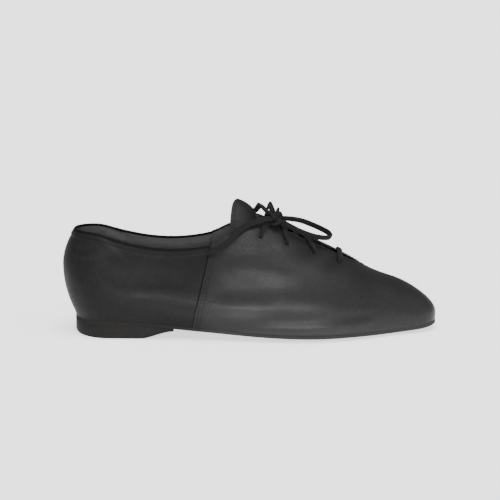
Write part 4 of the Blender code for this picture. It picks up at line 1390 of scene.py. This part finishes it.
def stitch_rows(tongue):
    """Every row of stitches on the upper and the tongue."""
    rows = [top_stitch_row()]
    for side in SIDES:
        rows.append(facing_stitch_row(side))
        rows += [seam_stitch_row(side, ahead) for ahead in SEAM_ROWS]
    return rows + bartack_rows() + [tongue_stitch_row(tongue)]


def build_stitches(material, tongue):
    """All stitches as one piece, laid by Geometry Nodes along their rows."""
    sizes = bpy.context.scene.jazz_shoe_sizes
    points = []
    outs = []
    edges = []
    for spots, ways in stitch_rows(tongue):
        first = sum(len(run) for run in points)
        edges += [(first + step, first + step + 1) for step in range(len(spots) - 1)]
        points.append(place(spots + ways * STITCH_LIFT))
        outs.append(ways)
    mesh = bpy.data.meshes.new("stitches")
    mesh.from_pydata(np.concatenate(points).tolist(), edges, [])
    attribute = mesh.attributes.new("out", "FLOAT_VECTOR", "POINT")
    attribute.data.foreach_set("vector", np.concatenate(outs).astype(np.float32).ravel())
    item = add_object("stitches", mesh)
    laid = item.modifiers.new("stitches", "NODES")
    laid.node_group = stitch_tree()
    inputs = {"Pitch": sizes.stitch_pitch, "Length": sizes.stitch, "Thread": sizes.thread,
              "Material": material}
    for socket in laid.node_group.interface.items_tree:
        if socket.in_out == "INPUT" and socket.name in inputs:
            laid[socket.identifier] = inputs[socket.name]
    return made_plain(item)


# Finishes


def shader_group(name, floats, outputs, on_surface):
    """Empty shader group: named floats with their defaults, a place if it lies on a surface, and outputs."""
    tree = bpy.data.node_groups.new(name, "ShaderNodeTree")
    if on_surface:
        tree.interface.new_socket("Vector", in_out="INPUT", socket_type="NodeSocketVector")
    for socket, value in floats.items():
        made = tree.interface.new_socket(socket, in_out="INPUT", socket_type="NodeSocketFloat")
        made.default_value = value
    for socket in outputs:
        tree.interface.new_socket(socket, in_out="OUTPUT", socket_type="NodeSocketFloat")
    return tree, add_node(tree, "NodeGroupInput").outputs


@lru_cache(maxsize=None)
def grain_group():
    """Leather grain: fine pebbles, soft pores between them, broad slack waves and crumpled folds."""
    tree, start = shader_group("leather_grain", {"Pebble": 1500.0, "Slack": 90.0, "Crumple": 0.0},
                               ("Height", "Tone"), True)
    spot = start["Vector"]
    pebble = add_node(tree, "ShaderNodeTexVoronoi", {"Vector": spot, "Scale": start["Pebble"]},
                      feature="SMOOTH_F1")
    pore_scale = math_node(tree, "MULTIPLY", start["Pebble"], GRAIN["pore_scale"])
    pore = noise(tree, spot, pore_scale, GRAIN["pore_detail"], GRAIN["pore_rough"])
    slack = noise(tree, spot, start["Slack"], GRAIN["wave_detail"])
    fine = math_node(tree, "MULTIPLY", pebble.outputs["Distance"], GRAIN["pebble"])
    mixed = math_node(tree, "ADD", fine, math_node(tree, "MULTIPLY", pore.outputs["Fac"], GRAIN["pore"]))
    stray = noise(tree, spot, CRUMPLE_STRAY["scale"], CRUMPLE_STRAY["detail"])
    bent = add_node(tree, "ShaderNodeVectorMath",
                    {0: stray.outputs["Color"], 1: (CRUMPLE_STRAY["reach"],) * 3, 2: spot},
                    operation="MULTIPLY_ADD").outputs["Vector"]
    folds = add_node(tree, "ShaderNodeTexVoronoi", {"Vector": bent, "Scale": CRUMPLE_SCALE},
                     feature="DISTANCE_TO_EDGE")
    edges = math_node(tree, "MINIMUM", folds.outputs["Distance"], CRUMPLE_EDGE)
    ridges = math_node(tree, "MULTIPLY", edges, CRUMPLE_DEPTH)
    crumpled = math_node(tree, "MULTIPLY", ridges, start["Crumple"])
    waved = math_node(tree, "ADD", mixed, math_node(tree, "MULTIPLY", slack.outputs["Fac"], GRAIN["wave"]))
    height = math_node(tree, "ADD", waved, crumpled)
    add_node(tree, "NodeGroupOutput", {"Height": height, "Tone": slack.outputs["Fac"]})
    return tree


@lru_cache(maxsize=None)
def wear_group():
    """Wear: broad rubbed patches broken up by fine scuffs."""
    tree, start = shader_group("surface_wear", {"Patch": 28.0, "Amount": 0.5}, ("Mask",), True)
    patch = noise(tree, start["Vector"], start["Patch"], WEAR["patch_detail"])
    scuff_scale = math_node(tree, "MULTIPLY", start["Patch"], WEAR["scuff_scale"])
    scuff = noise(tree, start["Vector"], scuff_scale, WEAR["scuff_detail"], WEAR["scuff_rough"])
    both = math_node(tree, "MULTIPLY", patch.outputs["Fac"], scuff.outputs["Fac"])
    spread = add_node(tree, "ShaderNodeMapRange", {"Value": both, "From Min": WEAR["from"],
                                                   "From Max": WEAR["to"]})
    mask = math_node(tree, "MULTIPLY", spread.outputs["Result"], start["Amount"])
    add_node(tree, "NodeGroupOutput", {"Mask": mask})
    return tree


@lru_cache(maxsize=None)
def weave_group():
    """Weave: two sets of threads that cross, each rising over the other."""
    tree, start = shader_group("woven_threads", {"Across": 0.0, "Along": 0.0}, ("Height",), False)
    waves = []
    for operation in ("ADD", "SUBTRACT"):
        run = math_node(tree, operation, start["Across"], start["Along"])
        waves.append(math_node(tree, "SINE", math_node(tree, "MULTIPLY", run, 2.0 * math.pi)))
    over = math_node(tree, "MAXIMUM", *waves)
    add_node(tree, "NodeGroupOutput", {"Height": math_node(tree, "MULTIPLY_ADD", over, 0.5, 0.5)})
    return tree


def new_material(name):
    """Material, its nodes and the inputs of its Principled shader."""
    material = bpy.data.materials.new(name)
    material.use_nodes = True
    return material, material.node_tree, material.node_tree.nodes["Principled BSDF"].inputs


def object_place(tree):
    """Places in the piece's own frame, which is the part's."""
    return add_node(tree, "ShaderNodeTexCoord").outputs["Object"]


def toned(colour, share):
    """A darker or lighter tone of a colour."""
    return tuple(share * value for value in colour)


def set_group(tree, group, inputs):
    """A shader group set into a material."""
    return add_node(tree, "ShaderNodeGroup", inputs, node_tree=group)


def colour_mix(tree, share, first, second):
    """Colour between two, by a mask. The first may be another mix's colour."""
    mix = add_node(tree, "ShaderNodeMix", data_type="RGBA")
    base = first if isinstance(first, bpy.types.NodeSocket) else (*first, 1.0)
    sockets = {socket.identifier: socket for socket in mix.inputs}
    feed(tree, sockets, {"Factor_Float": share, "A_Color": base, "B_Color": (*second, 1.0)})
    return next(socket for socket in mix.outputs if socket.identifier == "Result_Color")


def bump(tree, height, distance, strength):
    """Normal from a height, in metres of relief."""
    node = add_node(tree, "ShaderNodeBump", {"Height": height, "Distance": distance, "Strength": strength})
    return node.outputs["Normal"]


def mark_value(tree, name):
    """Value of one of the piece's own marks."""
    return add_node(tree, "ShaderNodeAttribute", attribute_name=name).outputs["Fac"]


def leather_material(name, colour, worn, marked=False):
    """Leather with grain, slack waves and rubbed patches. A marked one also shows its piece's own marks,
    which paint highlights and shade on the upper and darken the outsole's edge over the heel.
    """
    finish = FINISHES[name]
    material, tree, shader = new_material(name)
    spot = object_place(tree)
    grain = set_group(tree, grain_group(), {"Vector": spot, "Pebble": finish.pebble, "Slack": SLACK_SCALE})
    rubbed = set_group(tree, wear_group(), {"Vector": spot, "Patch": WEAR_PATCH, "Amount": finish.wear})
    rough = add_node(tree, "ShaderNodeMapRange", {
        "Value": grain.outputs["Tone"], "From Min": TONE_RANGE[0], "From Max": TONE_RANGE[1],
        "To Min": finish.smooth, "To Max": finish.rough})
    light = rubbed.outputs["Mask"]
    dull = rough.outputs["Result"]
    if marked:
        # Painted highlights with the crumpled grain, on the folds' ridges along with their wear, and in the
        # rubbed patches along with wear.
        crumple = mark_value(tree, "crumple")
        feed(tree, grain.inputs, {"Crumple": crumple})
        ridge = math_node(tree, "MAXIMUM", mark_value(tree, "fold"), 0.0)
        ridge = math_node(tree, "MULTIPLY", ridge, RIDGE_WEAR_AND_HIGHLIGHT)
        bent = math_node(tree, "ADD", ridge, math_node(tree, "MULTIPLY", crumple, CRUMPLE_HIGHLIGHT))
        light = math_node(tree, "ADD", light, math_node(tree, "ADD", bent, mark_value(tree, "rubbed")))
        # The shade mark darkens and dulls: painted shade on the upper, and the darker dye over the heel on
        # the outsole's edge.
        shade = math_node(tree, "MULTIPLY", mark_value(tree, "shade"), SHADE_TONE)
        dull = math_node(tree, "ADD", dull, math_node(tree, "MULTIPLY", shade, SHADE_DULL))
        dull = math_node(tree, "SUBTRACT", dull, math_node(tree, "MULTIPLY", ridge, RIDGE_POLISH))
    tone = colour_mix(tree, light, colour, worn)
    if marked:
        tone = colour_mix(tree, shade, tone, toned(colour, DEEP_TONE))
    feed(tree, shader, {"Base Color": tone, "Roughness": dull, "Specular IOR Level": finish.gloss,
                        "Normal": bump(tree, grain.outputs["Height"], finish.depth, 1.0)})
    return material


def cloth_material(name, colour):
    """Woven cloth on the piece's own place, for the lining and the insole."""
    cloth = CLOTHS[name]
    material, tree, shader = new_material(name)
    spot = object_place(tree)
    parts = add_node(tree, "ShaderNodeSeparateXYZ", {"Vector": spot}).outputs
    across = math_node(tree, "MULTIPLY", math_node(tree, "ADD", parts["Y"], parts["Z"]), cloth.threads)
    along = math_node(tree, "MULTIPLY", parts["X"], cloth.threads)
    weave = set_group(tree, weave_group(), {"Across": across, "Along": along})
    rubbed = set_group(tree, wear_group(), {"Vector": spot, "Patch": CLOTH["patch"], "Amount": CLOTH["wear"]})
    tone = colour_mix(tree, rubbed.outputs["Mask"], colour, toned(colour, CLOTH["dark"]))
    feed(tree, shader, {"Base Color": tone, "Roughness": cloth.roughness,
                        "Normal": bump(tree, weave.outputs["Height"], CLOTH["depth"], CLOTH["strength"])})
    return material


def braid_material(name, colour):
    """Braided cotton, whose threads run on the lace's own UV map."""
    material, tree, shader = new_material(name)
    run = add_node(tree, "ShaderNodeUVMap", uv_map="run").outputs["UV"]
    parts = add_node(tree, "ShaderNodeSeparateXYZ", {"Vector": run}).outputs
    along = math_node(tree, "MULTIPLY", parts["X"], BRAID["along"])
    across = math_node(tree, "MULTIPLY", parts["Y"], BRAID["round"])
    weave = set_group(tree, weave_group(), {"Across": across, "Along": along}).outputs["Height"]
    # Painted shade in the dips of the weave and a painted highlight on its crowns.
    spread = add_node(tree, "ShaderNodeMapRange", {"Value": weave, "From Min": 0.0,
                                                   "From Max": BRAID["full"]})
    low = toned(colour, BRAID["low"])
    high = toned(colour, BRAID["high"])
    feed(tree, shader, {**BRAID_SHINE, "Base Color": colour_mix(tree, spread.outputs["Result"], low, high),
                        "Normal": bump(tree, weave, BRAID["depth"], BRAID["strength"])})
    return material


def thread_material(name, colour, worn):
    """Sewing thread, rubbed in patches."""
    material, tree, shader = new_material(name)
    rubbed = set_group(tree, wear_group(), {"Vector": object_place(tree), "Patch": THREAD["patch"],
                                            "Amount": THREAD["wear"]})
    tone = colour_mix(tree, rubbed.outputs["Mask"], colour, worn)
    feed(tree, shader, {**THREAD_SHINE, "Base Color": tone})
    return material


def floor_material(colour, glow):
    """Plain pale floor with a faint unevenness, lit from below as a light table is."""
    material, tree, shader = new_material("pale_floor")
    cloud = noise(tree, object_place(tree), FLOOR["cloud"], FLOOR["detail"])
    tone = colour_mix(tree, cloud.outputs["Fac"], colour, toned(colour, FLOOR["dim"]))
    feed(tree, shader, {**FLOOR_SHINE, "Base Color": tone, "Emission Strength": glow})
    return material


# Operators


class JAZZSHOE_OT_stage(Operator):
    """Lay the pale floor, set the soft light and aim the camera"""

    bl_idname = "jazz_shoe.stage"
    bl_label = "Stage and camera"

    def execute(self, context):
        stage = context.scene.jazz_shoe_stage
        corners = np.array(((-1.0, -1.0, 0.0), (1.0, -1.0, 0.0), (1.0, 1.0, 0.0), (-1.0, 1.0, 0.0)))
        finish = floor_material(stage.floor, stage.glow)
        add_piece("floor", corners * FLOOR_HALF, [(0, 1, 2, 3)], [finish])
        for name, aim in LIGHTS.items():
            self.add_light(name, getattr(stage, name), aim)
        world = bpy.data.worlds.new("even_light")
        world.use_nodes = True
        sky = world.node_tree.nodes["Background"].inputs
        feed(world.node_tree, sky, {"Color": WHITE, "Strength": stage.sky})
        context.scene.world = world
        self.aim_camera(context.scene)
        return {"FINISHED"}

    @staticmethod
    def add_light(name, strength, aim):
        """Wide soft light that leans from overhead towards the camera's side and turns towards the toe."""
        sun = bpy.data.lights.new(name, "SUN")
        sun.energy = strength
        sun.angle = math.radians(aim["spread"])
        lamp = add_object(name, sun)
        lamp.rotation_euler = (math.radians(aim["tilt"]), 0.0, math.radians(aim["turn"]))

    @staticmethod
    def aim_camera(scene):
        """Camera in front of the lateral side, a little above the shoe."""
        data = bpy.data.cameras.new("camera")
        data.lens = CAMERA_LENS
        data.sensor_width = CAMERA_SENSOR
        camera = add_object("camera", data)
        rise = math.radians(CAMERA_ELEVATION)
        back = Vector((0.0, -math.cos(rise), math.sin(rise)))
        camera.location = Vector(CAMERA_TARGET) + back * CAMERA_DISTANCE
        camera.rotation_euler = (-back).to_track_quat("-Z", "Y").to_euler()
        scene.camera = camera


class JAZZSHOE_OT_lace(Operator):
    """Run the flat braid through the eyelets, tie it, and lay its loops and ends"""

    bl_idname = "jazz_shoe.lace"
    bl_label = "Lace"

    def execute(self, context):
        material = braid_material("lace_braid", context.scene.jazz_shoe_colours.lace)
        for name, route in CORD_ROUTES.items():
            build_cord(name, route, material)
        build_lacing(material)
        return {"FINISHED"}


class JAZZSHOE_OT_upper(Operator):
    """Build the leather upper with its lining, creases and punched eyelets"""

    bl_idname = "jazz_shoe.upper"
    bl_label = "Upper"

    def execute(self, context):
        colours = context.scene.jazz_shoe_colours
        vamp = leather_material("vamp_leather", colours.leather, colours.worn, marked=True)
        quarter = leather_material("quarter_leather", colours.quarter, colours.worn, marked=True)
        binding = leather_material("rim_binding", colours.binding, colours.quarter)
        lining = cloth_material("soft_lining", colours.lining)
        upper = punch_eyelets(build_upper([vamp, lining, quarter, binding]))
        seat(upper, "upper_leather", "upper")
        return {"FINISHED"}


class JAZZSHOE_OT_tongue(Operator):
    """Build the tongue, and lay every row of stitches on the upper and the tongue"""

    bl_idname = "jazz_shoe.tongue"
    bl_label = "Tongue and stitches"

    def execute(self, context):
        colours = context.scene.jazz_shoe_colours
        leather = leather_material("tongue_skin", colours.leather, colours.worn)
        tongue, points = build_tongue(leather)
        seat(tongue, "tongue_leather", "tongue")
        thread = thread_material("sewing_thread", colours.thread, colours.worn)
        seat(build_stitches(thread, points), None)
        return {"FINISHED"}


class JAZZSHOE_OT_soles(Operator):
    """Build the insole, the outsole and the heel"""

    bl_idname = "jazz_shoe.soles"
    bl_label = "Soles and heel"

    def execute(self, context):
        colours = context.scene.jazz_shoe_colours
        nap = leather_material("napped_sole", colours.sole, colours.worn)
        edge = leather_material("dyed_edge", colours.sole_edge, colours.worn, marked=True)
        rubber = leather_material("heel_rubber", colours.heel, colours.worn)
        cloth = cloth_material("insole_cloth", colours.insole)
        seat(build_outsole([nap, edge]), "outsole_leather", "outsole")
        seat(build_insole(cloth), "insole_fabric", "insole")
        seat(build_heel(rubber), "heel_rubber", "heel")
        return {"FINISHED"}


OPERATORS = (JAZZSHOE_OT_stage, JAZZSHOE_OT_lace, JAZZSHOE_OT_upper, JAZZSHOE_OT_tongue, JAZZSHOE_OT_soles)


class JAZZSHOE_PT_panel(Panel):
    """Sizes, colours and the pieces of the shoe"""

    bl_idname = "JAZZSHOE_PT_panel"
    bl_label = "Jazz Shoe"
    bl_space_type = "VIEW_3D"
    bl_region_type = "UI"
    bl_category = "Jazz Shoe"

    def draw(self, context):
        for group, kind in GROUPS.items():
            for name in kind.__annotations__:
                self.layout.prop(getattr(context.scene, group), name)
        for operator in OPERATORS:
            self.layout.operator(operator.bl_idname)


CLASSES = (*GROUPS.values(), *OPERATORS, JAZZSHOE_PT_panel)


def register():
    """Registers the classes and gives the scene its properties."""
    for kind in CLASSES:
        bpy.utils.register_class(kind)
    for name, kind in GROUPS.items():
        setattr(bpy.types.Scene, name, PointerProperty(type=kind))


def unregister():
    """Takes the properties and the classes away again."""
    for name in GROUPS:
        delattr(bpy.types.Scene, name)
    for kind in reversed(CLASSES):
        bpy.utils.unregister_class(kind)


def main():
    """Builds the shoe on its stage."""
    register()
    bpy.ops.jazz_shoe.stage()
    bpy.ops.jazz_shoe.lace()
    bpy.ops.jazz_shoe.upper()
    bpy.ops.jazz_shoe.tongue()
    bpy.ops.jazz_shoe.soles()


if __name__ == "__main__":
    main()
